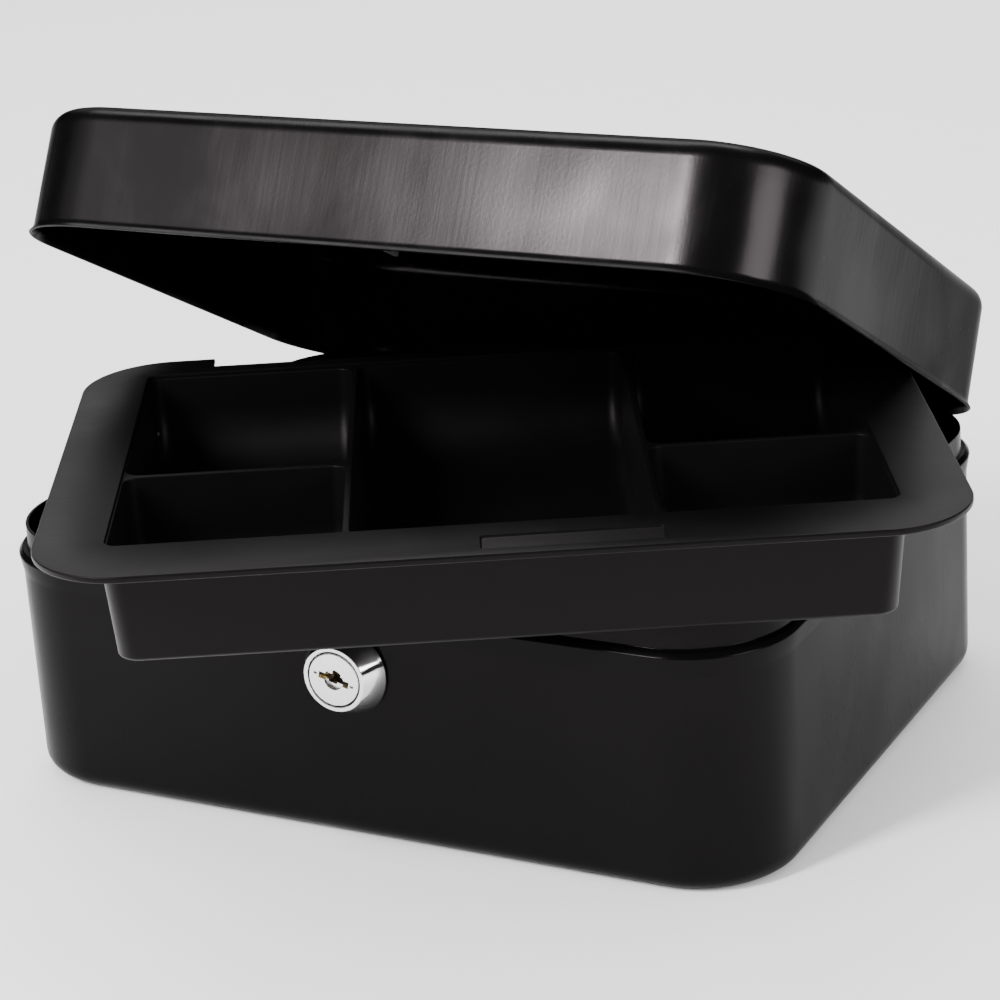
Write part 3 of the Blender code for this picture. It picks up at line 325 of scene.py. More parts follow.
def loft(bm, loops, cap_first=True, cap_last=True):
    for lower, upper in zip(loops, loops[1:]):
        bridge(bm, lower, upper)
    if cap_first:
        bm.faces.new(list(reversed(loops[0])))
    if cap_last:
        bm.faces.new(loops[-1])


def fill_between(bm, *loops):
    edges = []
    for loop in loops:
        for i, vert in enumerate(loop):
            after = loop[(i + 1) % len(loop)]
            edges.append(bm.edges.get((vert, after)) or bm.edges.new((vert, after)))
    bmesh.ops.triangle_fill(bm, use_beauty=True, use_dissolve=False, edges=edges)


def arc(centre, radius, start_deg, end_deg, steps):
    points = []
    for step in range(steps + 1):
        angle = math.radians(start_deg + (end_deg - start_deg) * step / steps)
        points.append((centre[0] + radius * math.cos(angle), centre[1] + radius * math.sin(angle)))
    return points


def on_axis(point, direction, along, across, up):
    px, py, pz = point
    if direction == "X":
        return (px + along, py + across, pz + up)
    if direction == "Y":
        return (px + across, py + along, pz + up)
    return (px + across, py + up, pz + along)


def turned(bm, profile, point, direction, steps):
    """Solid of revolution from (distance along the axis, radius) pairs."""
    loops = []
    for along, radius in profile:
        if radius <= 0:
            loops.append([bm.verts.new(on_axis(point, direction, along, 0, 0))])
            continue
        loops.append([
            bm.verts.new(on_axis(point, direction, along,
                                 radius * math.cos(2 * math.pi * k / steps),
                                 radius * math.sin(2 * math.pi * k / steps)))
            for k in range(steps)
        ])
    for first, second in zip(loops, loops[1:]):
        for k in range(steps):
            after = (k + 1) % steps
            if len(first) == 1:
                bm.faces.new((first[0], second[after], second[k]))
            elif len(second) == 1:
                bm.faces.new((first[k], first[after], second[0]))
            else:
                bm.faces.new((first[k], first[after], second[after], second[k]))
    return loops


def turned_ring(bm, profile, point, direction, steps):
    """The same from a closed profile that stays clear of the axis."""
    loops = turned(bm, profile, point, direction, steps)
    bridge(bm, loops[-1], loops[0])


def hole(bm, point, direction, low, high, radius):
    """Cutter for a round hole."""
    turned(bm, [(low, 0), (low, radius), (high, radius), (high, 0)], point, direction, 24)


def turned_bar(bm, profile, point, direction, steps):
    """Solid of revolution with flat ends, from pairs whose radius is never zero."""
    loops = turned(bm, profile, point, direction, steps)
    bm.faces.new(loops[0])
    bm.faces.new(loops[-1])


def block(bm, low, high):
    corners = [
        bm.verts.new((x, y, z))
        for z in (low[2], high[2])
        for x, y in ((low[0], low[1]), (high[0], low[1]), (high[0], high[1]), (low[0], high[1]))
    ]
    bm.faces.new(corners[3::-1])
    bm.faces.new(corners[4:])
    for i in range(4):
        j = (i + 1) % 4
        bm.faces.new((corners[i], corners[j], corners[j + 4], corners[i + 4]))


def prism(bm, outline, low, high, direction="Y"):
    if direction == "Y":
        near = [bm.verts.new((a, low, b)) for a, b in outline]
        far = [bm.verts.new((a, high, b)) for a, b in outline]
    else:
        near = [bm.verts.new((low, a, b)) for a, b in outline]
        far = [bm.verts.new((high, a, b)) for a, b in outline]
    loft(bm, [near, far])


def plate_with_hole(bm, outline, hole, low, high):
    """Flat plate across Y with one hole; both outlines are (x, z)."""
    faces = []
    for level in (low, high):
        rings = [[bm.verts.new((x, level, z)) for x, z in ring] for ring in (outline, hole)]
        fill_between(bm, *rings)
        faces.append(rings)
    for near, far in zip(*faces):
        bridge(bm, near, far)


def tube(bm, route, radius, up, steps):
    """Round wire along a route that stays square to up."""
    loops = []
    for i, point in enumerate(route):
        before, after = route[max(i - 1, 0)], route[min(i + 1, len(route) - 1)]
        incoming = (point - before).normalized() if i else (after - point).normalized()
        outgoing = (after - point).normalized() if i < len(route) - 1 else incoming
        tangent = (incoming + outgoing).normalized()
        across = up.cross(tangent).normalized() / max(tangent.dot(incoming), 0.5)
        loops.append([
            bm.verts.new(point + across * radius * math.cos(2 * math.pi * k / steps)
                         + up * radius * math.sin(2 * math.pi * k / steps))
            for k in range(steps)
        ])
    loft(bm, loops)


def bent_sheet(bm, stations, path, thickness, is_present):
    """A sheet bent along a path in the YZ plane; a cell between two stations and two path
    points exists where is_present(column, row)."""
    normals = []
    for i, point in enumerate(path):
        before, after = Vector(path[max(i - 1, 0)]), Vector(path[min(i + 1, len(path) - 1)])
        here = Vector(point)
        incoming = (here - before).normalized() if i else (after - here).normalized()
        outgoing = (after - here).normalized() if i < len(path) - 1 else incoming
        tangent = (incoming + outgoing).normalized()
        stretch = 1 / max(tangent.dot(incoming), 0.5)
        normals.append(Vector((-tangent.y, tangent.x)) * stretch)
    faces = []
    for sign in (1, -1):
        grid = {}
        for column, x in enumerate(stations):
            for row, point in enumerate(path):
                y, z = Vector(point) + normals[row] * sign * thickness / 2
                grid[column, row] = bm.verts.new((x, y, z))
        faces.append(grid)
    top, bottom = faces
    columns, rows = len(stations) - 1, len(path) - 1

    def present(column, row):
        return 0 <= column < columns and 0 <= row < rows and is_present(column, row)

    for column in range(columns):
        for row in range(rows):
            if not present(column, row):
                continue
            ring = [(column, row), (column + 1, row), (column + 1, row + 1), (column, row + 1)]
            bm.faces.new([top[key] for key in ring])
            bm.faces.new([bottom[key] for key in reversed(ring)])
            beside = [(column, row - 1), (column + 1, row), (column, row + 1), (column - 1, row)]
            for side, neighbour in enumerate(beside):
                if not present(*neighbour):
                    a, b = ring[side], ring[(side + 1) % 4]
                    bm.faces.new((top[a], bottom[a], bottom[b], top[b]))
    bmesh.ops.delete(bm, geom=[v for v in bm.verts if not v.link_faces], context="VERTS")


def smooth(mesh):
    mesh.shade_smooth()
    mesh.set_sharp_from_angle(angle=math.radians(SHARP_FROM_DEG))


def solid(name, bm, body):
    """Makes the mesh an object in its body's own coordinates."""
    bmesh.ops.recalc_face_normals(bm, faces=bm.faces)
    mesh = bpy.data.meshes.new(name)
    bm.to_mesh(mesh)
    bm.free()
    made = bpy.data.objects.new(name, mesh)
    bpy.context.scene.collection.objects.link(made)
    made.matrix_world = PLACES[body]
    return made


def piece(name, bm, finish, body, *nodes, slot=None):
    """Makes a visible solid and hands it to the frame."""
    made = solid(name, bm, body)
    made.data.materials.append(finish)
    smooth(made.data)
    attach(made, body)
    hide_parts(*nodes)
    return made


def cut(target, *tools, operation="DIFFERENCE"):
    """Applies the cuts, so that the mesh is final, and removes the tools."""
    bpy.context.view_layer.update()
    for tool in tools:
        modifier = target.modifiers.new(tool.name, "BOOLEAN")
        modifier.operation = operation
        modifier.solver = "EXACT"
        modifier.object = tool
    bake(target)
    for tool in tools:
        bpy.data.objects.remove(tool, do_unlink=True)


def bevel(target, width, segments=2, angle=40):
    modifier = target.modifiers.new("edges", "BEVEL")
    modifier.width = width
    modifier.segments = segments
    modifier.limit_method = "ANGLE"
    modifier.angle_limit = math.radians(angle)
    modifier.use_clamp_overlap = True
    modifier.harden_normals = False
    bake(target)


def bake(target):
    bpy.context.view_layer.update()
    graph = bpy.context.evaluated_depsgraph_get()
    mesh = bpy.data.meshes.new_from_object(target.evaluated_get(graph))
    target.modifiers.clear()
    target.data = mesh
    smooth(mesh)


# ---- finishes -----------------------------------------------------------------------
base_enamel = enamel("base_enamel", 0.8, 0.1, 0.07, 0.03)
lid_enamel = enamel("lid_enamel", 1.0, 1.0, 0.215, 0.005)
hinge_enamel = enamel("hinge_enamel", 0.5, 0.0)
tray_plastic = plastic("tray_plastic")
pad_plastic = plastic("pad_plastic", 0.55)
chrome = plated("chrome_plating")
face_chrome = faced("turned_face")
zinc_steel = zinc("zinc_plating")
brass = brass_finish("brass_wafers")


# ---- base ---------------------------------------------------------------------------
def base_profile():
    return rounded_path([
        (-0.0120, 0.0000, 0),
        (0.0000, 0.0000, 0.0050),
        (0.0000, 0.0525, 0.0060),
        (0.00080, 0.0570, 0.0007),
        (-0.0002, 0.05805, 0.0004),
        (-0.00100, 0.0584, 0.0004),
        (-0.00100, 0.0640, 0.0003),
        (-0.00184, 0.0640, 0.0003),
        (-0.00184, 0.0581, 0.0005),
        (-0.0003, 0.0572, 0.0004),
        (-0.0001, 0.0564, 0.0005),
        (-0.0008, 0.0522, 0.0060),
        (-0.0008, 0.0008, 0.0042),
        (-0.0120, 0.0008, 0),
    ])


def make_base():
    bm = bmesh.new()
    loops = []
    for out, height in base_profile():
        share = min(max((-out - 0.0002) / 0.0008, 0.0), 1.0) if height > 0.0578 else 0.0
        outline = centred_outline(WIDTH + 2 * out, DEPTH + 2 * out, BASE_CORNER + out + 0.0015 * share)
        loops.append(add_loop(bm, outline, height))
    loft(bm, loops)
    shell = piece("base_shell_fine", bm, base_enamel, "base", "base_shell", slot="black_paint")
    bm = bmesh.new()
    prism(bm, lock_section(0.0087, 0.0078), -0.085, -0.075)
    lock_hole = solid("lock_hole", bm, "base")
    bm = bmesh.new()
    for x, z in base_rivet_spots():
        hole(bm, (x, 0, z), "Y", 0.076, 0.084, 0.0013)
    cut(shell, lock_hole, solid("rivet_holes", bm, "base"))


def at_lock(outline):
    """Moves an (x, z) outline up to the lock's axis."""
    return [(x, LOCK_Z + z) for x, z in outline]


def lock_section(radius, flat):
    half = math.degrees(math.acos(flat / radius))
    right = arc((0, 0), radius, half, 180 - half, 24)
    left = arc((0, 0), radius, 180 + half, 360 - half, 24)
    return at_lock(right + left)


def base_rivet_spots():
    return [(side * HINGE_X + shift, 0.0462) for side in (-1, 1) for shift in (-0.012, 0.012)]


# ---- lid ----------------------------------------------------------------------------
CUT_EDGE, CUT_HALF, CUT_SHOULDER, CUT_FLAT = 0.0281, 0.0278, 0.0209, 0.0204


def lid_stops():
    straight = WIDTH / 2 - LID_CORNER
    reaches = [CUT_EDGE, CUT_HALF, CUT_SHOULDER, CUT_FLAT]
    offsets = reaches + [-reach for reach in reversed(reaches)]
    right = [HINGE_X + offset for offset in offsets]
    return [x / straight for x in right] + [-x / straight for x in reversed(right)]


def rim_rise(x, y):
    """The rear rim is cut up over each hinge."""
    off = abs(abs(x) - HINGE_X)
    if y < DEPTH / 2 - SHEET * 2 or off > CUT_HALF + 1e-6:
        return 0.0
    return 0.0087 if off <= CUT_FLAT + 1e-6 else 0.0059


def lid_rim(bm, offset):
    """The flared rings of one skin at the rim, from the edge up."""
    stops = lid_stops()

    def outline_at(out):
        inset = offset - out
        return centred_outline(WIDTH - 2 * inset, DEPTH - 2 * inset, LID_CORNER - inset, stops)

    plain = outline_at(0.0)
    rises = [rim_rise(x, y) for x, y in centred_outline(WIDTH, DEPTH, LID_CORNER, stops)]
    edge = 0.0002 if offset == 0.0 else -0.0002
    flare, high = 0.0009, 0.0022
    steps = [(flare - edge, 0.0)]
    for k in range(7):
        share = k / 6
        steps.append((flare * (1 - share) ** 2, 0.0002 + (high - 0.0002) * share))
    loops = []
    for out, lift in steps:
        flared = outline_at(out)
        outline = [level if rise else bent for level, bent, rise in zip(plain, flared, rises)]
        heights = [LID_TOP - LID_SKIRT + rise + (lift * 0.3 if rise else lift) for rise in rises]
        loops.append(add_loop(bm, outline, heights))
    return loops


def lid_rings(offset):
    """Rings of one skin from above the rim to the middle of the handle recess."""
    stops = lid_stops()
    top = LID_TOP - offset
    fillet = LID_FILLET - offset
    rings = [(centred_outline(WIDTH - 2 * offset, DEPTH - 2 * offset, LID_CORNER - offset, stops),
              LID_TOP - LID_SKIRT + 0.0102)]
    for step in range(13):
        angle = math.pi / 2 * step / 12
        inset = offset + fillet * (1 - math.cos(angle))
        rings.append((centred_outline(WIDTH - 2 * inset, DEPTH - 2 * inset, LID_CORNER - inset, stops),
                      top - fillet + fillet * math.sin(angle)))
    width, depth, corner = 0.122, 0.050, 0.010
    shoulder = 0.0012 + offset
    bend = 0.0012 + SHEET - offset
    floor = RECESS_FLOOR - offset
    for step in range(7):
        angle = math.pi / 2 * step / 6
        out = shoulder * (1 - math.sin(angle)) + offset
        rings.append((centred_outline(width + 2 * out, depth + 2 * out, corner + out, stops),
                      top - shoulder * (1 - math.cos(angle))))
    for step in range(7):
        angle = math.pi / 2 * step / 6
        out = offset - bend * (1 - math.cos(angle))
        rings.append((centred_outline(width + 2 * out, depth + 2 * out, corner + out, stops),
                      floor + bend * (1 - math.sin(angle))))
    return rings


def make_lid():
    bm = bmesh.new()
    outer = lid_rim(bm, 0.0) + [add_loop(bm, outline, z) for outline, z in lid_rings(0.0)]
    inner = lid_rim(bm, SHEET) + [add_loop(bm, outline, z) for outline, z in lid_rings(SHEET)]
    loft(bm, list(reversed(inner)) + outer)
    shell = piece("lid_shell_fine", bm, lid_enamel, "lid", "lid_shell", slot="black_paint")
    bm = bmesh.new()
    for x, z in lid_rivet_spots():
        hole(bm, (x, 0, z), "Y", 0.0755, 0.083, 0.0012)
    for x, y in handle_rivet_spots():
        hole(bm, (x, y, 0), "Z", 0.081, 0.087, 0.0012)
    cut(shell, solid("lid_holes", bm, "lid"))


def lid_rivet_spots():
    return [(side * HINGE_X + shift, 0.0692) for side in (-1, 1) for shift in (-0.0125, 0, 0.0125)]


def handle_rivet_spots():
    return [(side * 0.05225, HANDLE_AXIS_Y + shift) for side in (-1, 1) for shift in (-0.0064, 0.0064)]


# ---- hinges -------------------------------------------------------------------------
def curl(start_deg):
    return arc((HINGE_Y, HINGE_Z), 0.0019, start_deg, start_deg + 285, 36)


def make_leaves():
    plate = DEPTH / 2 + GAP + SHEET / 2
    outer = HINGE_Y + 0.0019
    base_path = [(plate, 0.0420), (plate, 0.0505), (outer, 0.0545), (outer, HINGE_Z - 0.0038)] + curl(0)
    plate_in = DEPTH / 2 - SHEET - GAP - SHEET / 2
    inner = HINGE_Y - 0.0019
    lid_path = [(plate_in, 0.0714), (plate_in, 0.0659), (inner, 0.0659), (inner, 0.0618)] + curl(180)
    for side, word in ((-1, "left"), (1, "right")):
        x = side * HINGE_X
        for name, path, body, split, reach, middle in (
                ("base", base_path, "base", 0.0070, 0.0274, False),
                ("lid", lid_path, "lid", 0.0066, 0.0290, True)):
            bm = bmesh.new()
            stations = [x - reach, x - 0.020, x - split, x + split, x + 0.020, x + reach]
            bent_sheet(bm, stations, path, SHEET, lambda column, row: row > 2 and (column == 2) == middle
                       or row == 2 or row < 2 and column in (1, 2, 3))
            leaf = piece(f"{name}_leaf_{word}", bm, hinge_enamel, body, f"{name}_hinge_leaf_{word}",
                         slot="black_paint")
            bevel(leaf, 0.00015)
        bm = bmesh.new()
        half, radius, edge = 0.0282, 0.0012, 0.0003
        turned(bm, [(-half, 0), (-half, radius - edge), (-half + edge, radius), (half - edge, radius),
                    (half, radius - edge), (half, 0)], (x, HINGE_Y, HINGE_Z), "X", 32)
        piece(f"pin_{word}", bm, zinc_steel, "base", f"hinge_pin_{word}", slot="zinc_steel")


# shank, head and tail radius, and the rise of the head
BASE_RIVET = (0.0010, 0.0020, 0.0018, 0.0009)
SMALL_RIVET = (0.0009, 0.0018, 0.0016, 0.0008)


def rivet(bm, point, direction, head_at, tail_at, shank, head, tail, rise):
    away = 1 if head_at > tail_at else -1
    profile = [(head_at + away * rise, 0)]
    for step in range(1, 6):
        angle = math.pi / 2 * step / 5
        profile.append((head_at + away * rise * (0.12 + 0.88 * math.cos(angle)), head * math.sin(angle)))
    profile += [(head_at, head), (head_at, shank), (tail_at, shank), (tail_at, tail)]
    profile += [(tail_at - away * rise * 0.5, tail * 0.95), (tail_at - away * rise * 0.8, tail * 0.7),
                (tail_at - away * rise * 0.8, 0)]
    turned(bm, profile, point, direction, 24)


def make_rivets():
    for number, (x, z) in enumerate(base_rivet_spots(), start=1):
        bm = bmesh.new()
        rivet(bm, (x, 0, z), "Y", DEPTH / 2 + SHEET + 2 * GAP, DEPTH / 2 - SHEET - GAP,
              *BASE_RIVET)
        piece(f"base_rivet_{number}", bm, hinge_enamel, "base", f"base_hinge_rivet_{number}",
              slot="black_paint")
    for number, (x, z) in enumerate(lid_rivet_spots(), start=1):
        bm = bmesh.new()
        rivet(bm, (x, 0, z), "Y", DEPTH / 2 + GAP, DEPTH / 2 - 2 * SHEET - 2 * GAP, *SMALL_RIVET)
        piece(f"lid_rivet_{number}", bm, hinge_enamel, "lid", f"lid_hinge_rivet_{number}",
              slot="black_paint")
    for number, (x, y) in enumerate(handle_rivet_spots(), start=1):
        bm = bmesh.new()
        rivet(bm, (x, y, 0), "Z", RECESS_FLOOR + 2 * GAP + SHEET, RECESS_FLOOR - SHEET - GAP,
              *SMALL_RIVET)
        piece(f"bracket_rivet_{number}", bm, chrome, "lid", f"handle_rivet_{number}", slot="chrome")


# ---- strike -------------------------------------------------------------------------
def make_catch():
    wall = -DEPTH / 2 + SHEET + GAP
    back, thick = -0.0682, 0.0012
    bm = bmesh.new()
    block(bm, (-0.009, wall, 0.0660), (0.009, wall + SHEET, 0.0760))
    plate = piece("strike", bm, zinc_steel, "lid", "lid_catch", slot="zinc_steel")
    bm = bmesh.new()
    prism(bm, [(wall + SHEET / 2, 0.0666), (wall + SHEET / 2, 0.0680), (wall + SHEET / 2, 0.0748),
               (back + 0.003, 0.0725), (back, 0.0669), (back, 0.0596), (-0.0771, 0.0596),
               (-0.0771, 0.0650)], 0.003, 0.003 + thick, "X")
    tongue = solid("tongue", bm, "lid")
    cut(plate, tongue, operation="UNION")
    bm = bmesh.new()
    block(bm, (0.002, -0.0755, 0.0607), (0.0052, -0.0705, 0.0639))
    cut(plate, solid("window", bm, "lid"))
    bevel(plate, 0.00015)


# ---- handle -------------------------------------------------------------------------
def make_handle():
    leg, grip, axis = 0.0460, -0.0170, HANDLE_AXIS_Y
    half = [(0.0560, axis)] + arc((leg + 0.0035, axis - 0.0035), 0.0035, 90, 180, 10)
    half += arc((leg - 0.006, grip + 0.006), 0.006, 0, -90, 14)
    route = [Vector((x, y, WIRE_HEIGHT)) for x, y in half + [(-x, y) for x, y in reversed(half)]]
    bm = bmesh.new()
    tube(bm, route, 0.0022, Vector((0, 0, 1)), 28)
    wire = piece("handle_wire", bm, chrome, "handle", "lid_handle", slot="chrome")
    bevel(wire, 0.0004, 3, 60)
    inner, foot = 0.0022 + GAP, 0.0095
    outer = inner + SHEET
    low = RECESS_FLOOR + GAP
    high = low + SHEET
    y = HANDLE_AXIS_Y
    strap = [(y + foot, low), (y + foot, high), (y + outer, high)]
    strap += arc((y, WIRE_HEIGHT), outer, 0, 180, 28)
    strap += [(y - outer, high), (y - foot, high), (y - foot, low), (y - inner, low)]
    strap += arc((y, WIRE_HEIGHT), inner, 180, 0, 28) + [(y + inner, low)]
    for side, word in ((-1, "left"), (1, "right")):
        bm = bmesh.new()
        prism(bm, strap, side * 0.05225 - 0.00225, side * 0.05225 + 0.00225, "X")
        made = piece(f"saddle_{word}", bm, chrome, "lid", f"handle_bracket_{word}", slot="chrome")
        bm = bmesh.new()
        for x, spot in handle_rivet_spots():
            hole(bm, (x, spot, 0), "Z", 0.081, 0.087, 0.0012)
        cut(made, solid("saddle_holes", bm, "lid"))
        bevel(made, 0.00015)


# ---- lock ---------------------------------------------------------------------------
WAFER_Y = (-0.0836, -0.0814, -0.0792, -0.0770)


def make_lock():
    wall = -DEPTH / 2 - GAP
    face, bore, end = -0.0860, 0.0067, -0.0746
    bm = bmesh.new()
    outer = rounded_path([
        (face + 0.0005, bore, 0), (face, bore + 0.0001, 0.0002), (face, 0.00775, 0.0004),
        (wall - 0.0003, 0.0107, 0.0003), (wall, 0.0104, 0), (wall, 0.0084, 0),
        (end - 0.0004, 0.0084, 0), (end, 0.0080, 0), (end, bore, 0)])
    turned_ring(bm, outer, LOCK_AXIS, "Y", 96)
    housing = piece("lock_head", bm, chrome, "base", "lock_housing", slot="chrome")
    bm = bmesh.new()
    for side in (-1, 1):
        near, far = sorted((side * 0.0075, side * 0.0104))
        block(bm, (near, wall, LOCK_Z - 0.011), (far, end + 0.001, LOCK_Z + 0.011))
    cut(housing, solid("barrel_flats", bm, "base"))
    housing.data.materials.append(face_chrome)
    for polygon in housing.data.polygons:
        if polygon.center.y < face + 0.00005 and polygon.normal.y < -0.9:
            polygon.material_index = 1

    radius = 0.0064
    bm = bmesh.new()
    profile = rounded_path([(face, radius / 2, 0), (face, radius, 0.00025), (-0.0744, radius, 0)])[1:]
    turned_bar(bm, profile, LOCK_AXIS, "Y", 96)
    plug = piece("lock_plug_fine", bm, face_chrome, "plug", "lock_plug", slot="chrome")
    bm = bmesh.new()
    tail = 0.0027
    block(bm, (-tail, -0.0754, LOCK_Z - tail), (tail, -0.0727, LOCK_Z + tail))
    cut(plug, solid("tail", bm, "plug"), operation="UNION")
    bm = bmesh.new()
    prism(bm, keyway_outline(), face - 0.001, -0.0756)
    keyway = solid("keyway", bm, "plug")
    bm = bmesh.new()
    turned_bar(bm, [(-0.0740, 0.0014), (-0.0720, 0.0014)], LOCK_AXIS, "Y", 24)
    screw_hole = solid("screw_hole", bm, "plug")
    bm = bmesh.new()
    turned_bar(bm, [(face - 0.001, 0.0027), (face + 0.0009, 0.0023)], LOCK_AXIS, "Y", 48)
    recess = solid("recess", bm, "plug")
    bm = bmesh.new()
    for side in (-1, 1):
        near, far = sorted((side * 0.0043, side * 0.0052))
        block(bm, (-0.0003, face - 0.001, LOCK_Z + near), (0.0003, face + 0.0006, LOCK_Z + far))
    nicks = solid("nicks", bm, "plug")
    bm = bmesh.new()
    half, spring_side, slot_half = 0.0028, 0.0046, 0.00075
    slot = [(-half, -0.0074), (half, -0.0074), (half, -0.0020), (spring_side, -0.0020),
            (spring_side, 0.0034), (half, 0.0034), (half, 0.0074), (-half, 0.0074)]
    for y in WAFER_Y:
        prism(bm, at_lock(slot), y - slot_half, y + slot_half)
    cut(plug, recess, nicks, keyway, solid("wafer_slots", bm, "plug"), screw_hole)


def keyway_outline():
    """A paracentric slot: long and narrow with a wider round middle, as (x, z)."""
    half, tall, middle = 0.00080, 0.0039, 0.0021
    right = [(half, -tall), (half, -0.0012), (middle, -0.0012), (middle, 0.0010), (half, 0.0010),
             (half, tall)]
    left = [(-half, tall), (-half, 0.0016), (-0.0013, 0.0016), (-0.0013, -0.0006), (-half, -0.0006),
            (-half, -tall)]
    return at_lock(right + left)


def make_lock_inside():
    for number, y in enumerate(WAFER_Y, start=1):
        high = 0.0030 - 0.0004 * (number % 3)
        outline = [(-0.0025, -0.0054), (0.0025, -0.0054), (0.0025, 0.0012), (0.0040, 0.0012),
                   (0.0040, 0.0022), (0.0025, 0.0022), (0.0025, 0.0054), (-0.0025, 0.0054)]
        hole = [(-0.0013, -0.0030), (0.0013, -0.0030), (0.0013, high), (-0.0013, high)]
        bm = bmesh.new()
        plate_with_hole(bm, at_lock(outline), at_lock(hole), y - 0.00045, y + 0.00045)
        made = piece(f"wafer_{number}", bm, brass, "plug", f"lock_wafer_{number}", slot="brass")
        bevel(made, 0.00008)
        route = []
        for i in range(49):
            angle = 2 * math.pi * i / 16
            rise = -0.00154 + 0.00228 * i / 48
            across, along = 0.0005 * math.cos(angle), 0.0005 * math.sin(angle)
            route.append(Vector((0.0037 + across, y + along, LOCK_Z + rise)))
        bm = bmesh.new()
        tube(bm, route, 0.00014, Vector((0, 0, 1)), 8)
        piece(f"spring_{number}", bm, brass, "plug", f"wafer_spring_{number}", slot="brass")

    near = -DEPTH / 2 + SHEET + GAP
    bm = bmesh.new()
    turned_ring(bm, [(near, 0.0110), (near + 0.0005, 0.0110), (near + 0.0005, 0.0087), (near, 0.0087)],
                LOCK_AXIS, "Y", 64)
    piece("washer", bm, zinc_steel, "base", "lock_washer", slot="zinc_steel")
    near += 0.0005 + GAP
    bm = bmesh.new()
    hexagon = at_lock(arc((0, 0), 0.0121, 30, 330, 5))
    hole = at_lock(arc((0, 0), 0.0087, 0, 350, 35))
    plate_with_hole(bm, hexagon, hole, near, near + 0.0022)
    bevel(piece("nut", bm, zinc_steel, "base", "lock_nut", slot="zinc_steel"), 0.0003)
    bm = bmesh.new()
    left, right, hub, reach = -0.0045, 0.0025, 0.0070, 0.0196
    start = math.degrees(math.atan2(math.sqrt(hub ** 2 - left ** 2), left))
    end = math.degrees(math.atan2(math.sqrt(hub ** 2 - right ** 2), right)) + 360
    outline = arc((0, 0), hub, start, end, 40)
    outline += [(right, reach - 0.0016), (0.0060, reach - 0.0016), (0.0060, reach - 0.0004),
                (0.0056, reach), (left + 0.0015, reach), (left, reach - 0.0015)]
    square = [(-0.003, -0.003), (0.003, -0.003), (0.003, 0.003), (-0.003, 0.003)]
    plate_with_hole(bm, at_lock(outline), at_lock(square), -0.0740, -0.0725)
    bevel(piece("cam", bm, zinc_steel, "plug", "lock_cam", slot="zinc_steel"), 0.00015)
    seat = -0.0725 + GAP
    bm = bmesh.new()
    turned(bm, [(-0.0735, 0), (-0.0735, 0.00114), (seat, 0.00114), (seat, 0.0035),
                (seat + 0.0002, 0.0036), (seat + 0.0012, 0.0036), (seat + 0.0017, 0.0032),
                (seat + 0.0020, 0.0022), (seat + 0.0020, 0)], LOCK_AXIS, "Y", 48)
    screw = piece("screw", bm, zinc_steel, "plug", "cam_screw", slot="zinc_steel")
    bm = bmesh.new()
    block(bm, (-0.0004, seat + 0.0010, LOCK_Z - 0.0046), (0.0004, seat + 0.003, LOCK_Z + 0.0046))
    cut(screw, solid("driver_slot", bm, "plug"))


# ---- coin tray ----------------------------------------------------------------------
TRAY_X, TRAY_Y, TRAY_CORNER = 0.09875, 0.0725, 0.0210
OPEN_X, OPEN_FRONT, OPEN_REAR = 0.0835, -0.0542, 0.0617
TRAY_DEEP, TRAY_WALL = 0.0269, 0.0016
DIVIDER_DROP = 0.0010


def flange_outline(inset):
    x, y = TRAY_X - inset, TRAY_Y - inset
    points = rounded_outline(-x, x, -y, y, TRAY_CORNER - inset, steps=24)
    notch_x, notch_y, relief = 0.0679 + inset, y - 0.0060, 0.0006
    notch = [(notch_x, y), (notch_x, notch_y + relief), (notch_x - relief, notch_y),
             (-notch_x + relief, notch_y), (-notch_x, notch_y + relief), (-notch_x, y)]
    return points[:25] + notch + points[25:]


def opening_outline(out, radius, steps):
    return rounded_outline(-OPEN_X - out, OPEN_X + out, OPEN_FRONT - out, OPEN_REAR + out, radius,
                           steps=steps)


def pocket_rings(x_low, x_high, y_low, y_high, scoop):
    """Rings of a compartment from its rounded mouth down to its floor."""
    floor = -TRAY_DEEP + TRAY_WALL
    mouth = -DIVIDER_DROP
    lip, fillet = 0.00035, 0.0035
    depth = mouth - floor
    rings = []
    for step in range(5):
        angle = math.pi / 2 * step / 4
        out = lip * (1 - math.sin(angle))
        outline = rounded_outline(x_low - out, x_high + out, y_low - out, y_high + out, fillet + out,
                                  steps=8)
        rings.append((outline, mouth - lip * (1 - math.cos(angle))))
    heights = {scoop * (1 - math.sin(math.radians(a))) for a in range(0, 76, 6)}
    heights |= {fillet * (1 - math.sin(math.radians(a))) for a in range(0, 91, 15)}
    heights = sorted((h for h in heights if h < depth - lip - 0.0005), reverse=True)

    def run_in(radius, height):
        if height >= radius:
            return 0.0
        return radius - math.sqrt(max(radius ** 2 - (radius - height) ** 2, 0.0))

    for height in heights:
        draft = 0.0008 * (1 - height / depth)
        side = draft + run_in(fillet, height)
        rear = draft + run_in(scoop, height)
        outline = rounded_outline(x_low + side, x_high - side, y_low + side, y_high - rear, fillet,
                                  steps=8)
        rings.append((outline, floor + height))
    return rings


PAD = (-0.0051, 0.0332, -0.0690, -0.0614)     # shallow sunk panel in the front flange


def tray_pockets():
    half = TRAY_WALL / 2
    ledge, divider, cross = 0.0004, 0.0330, -0.0090
    left, right = -OPEN_X + ledge, OPEN_X - ledge
    front, rear = OPEN_FRONT + ledge, OPEN_REAR - ledge
    pockets = [(-divider + half, divider - half, front, rear, 0.0170)]
    for x_low, x_high in ((left, -divider - half), (divider + half, right)):
        pockets.append((x_low, x_high, front, cross - half, 0.0110))
        pockets.append((x_low, x_high, cross + half, rear, 0.0170))
    return pockets


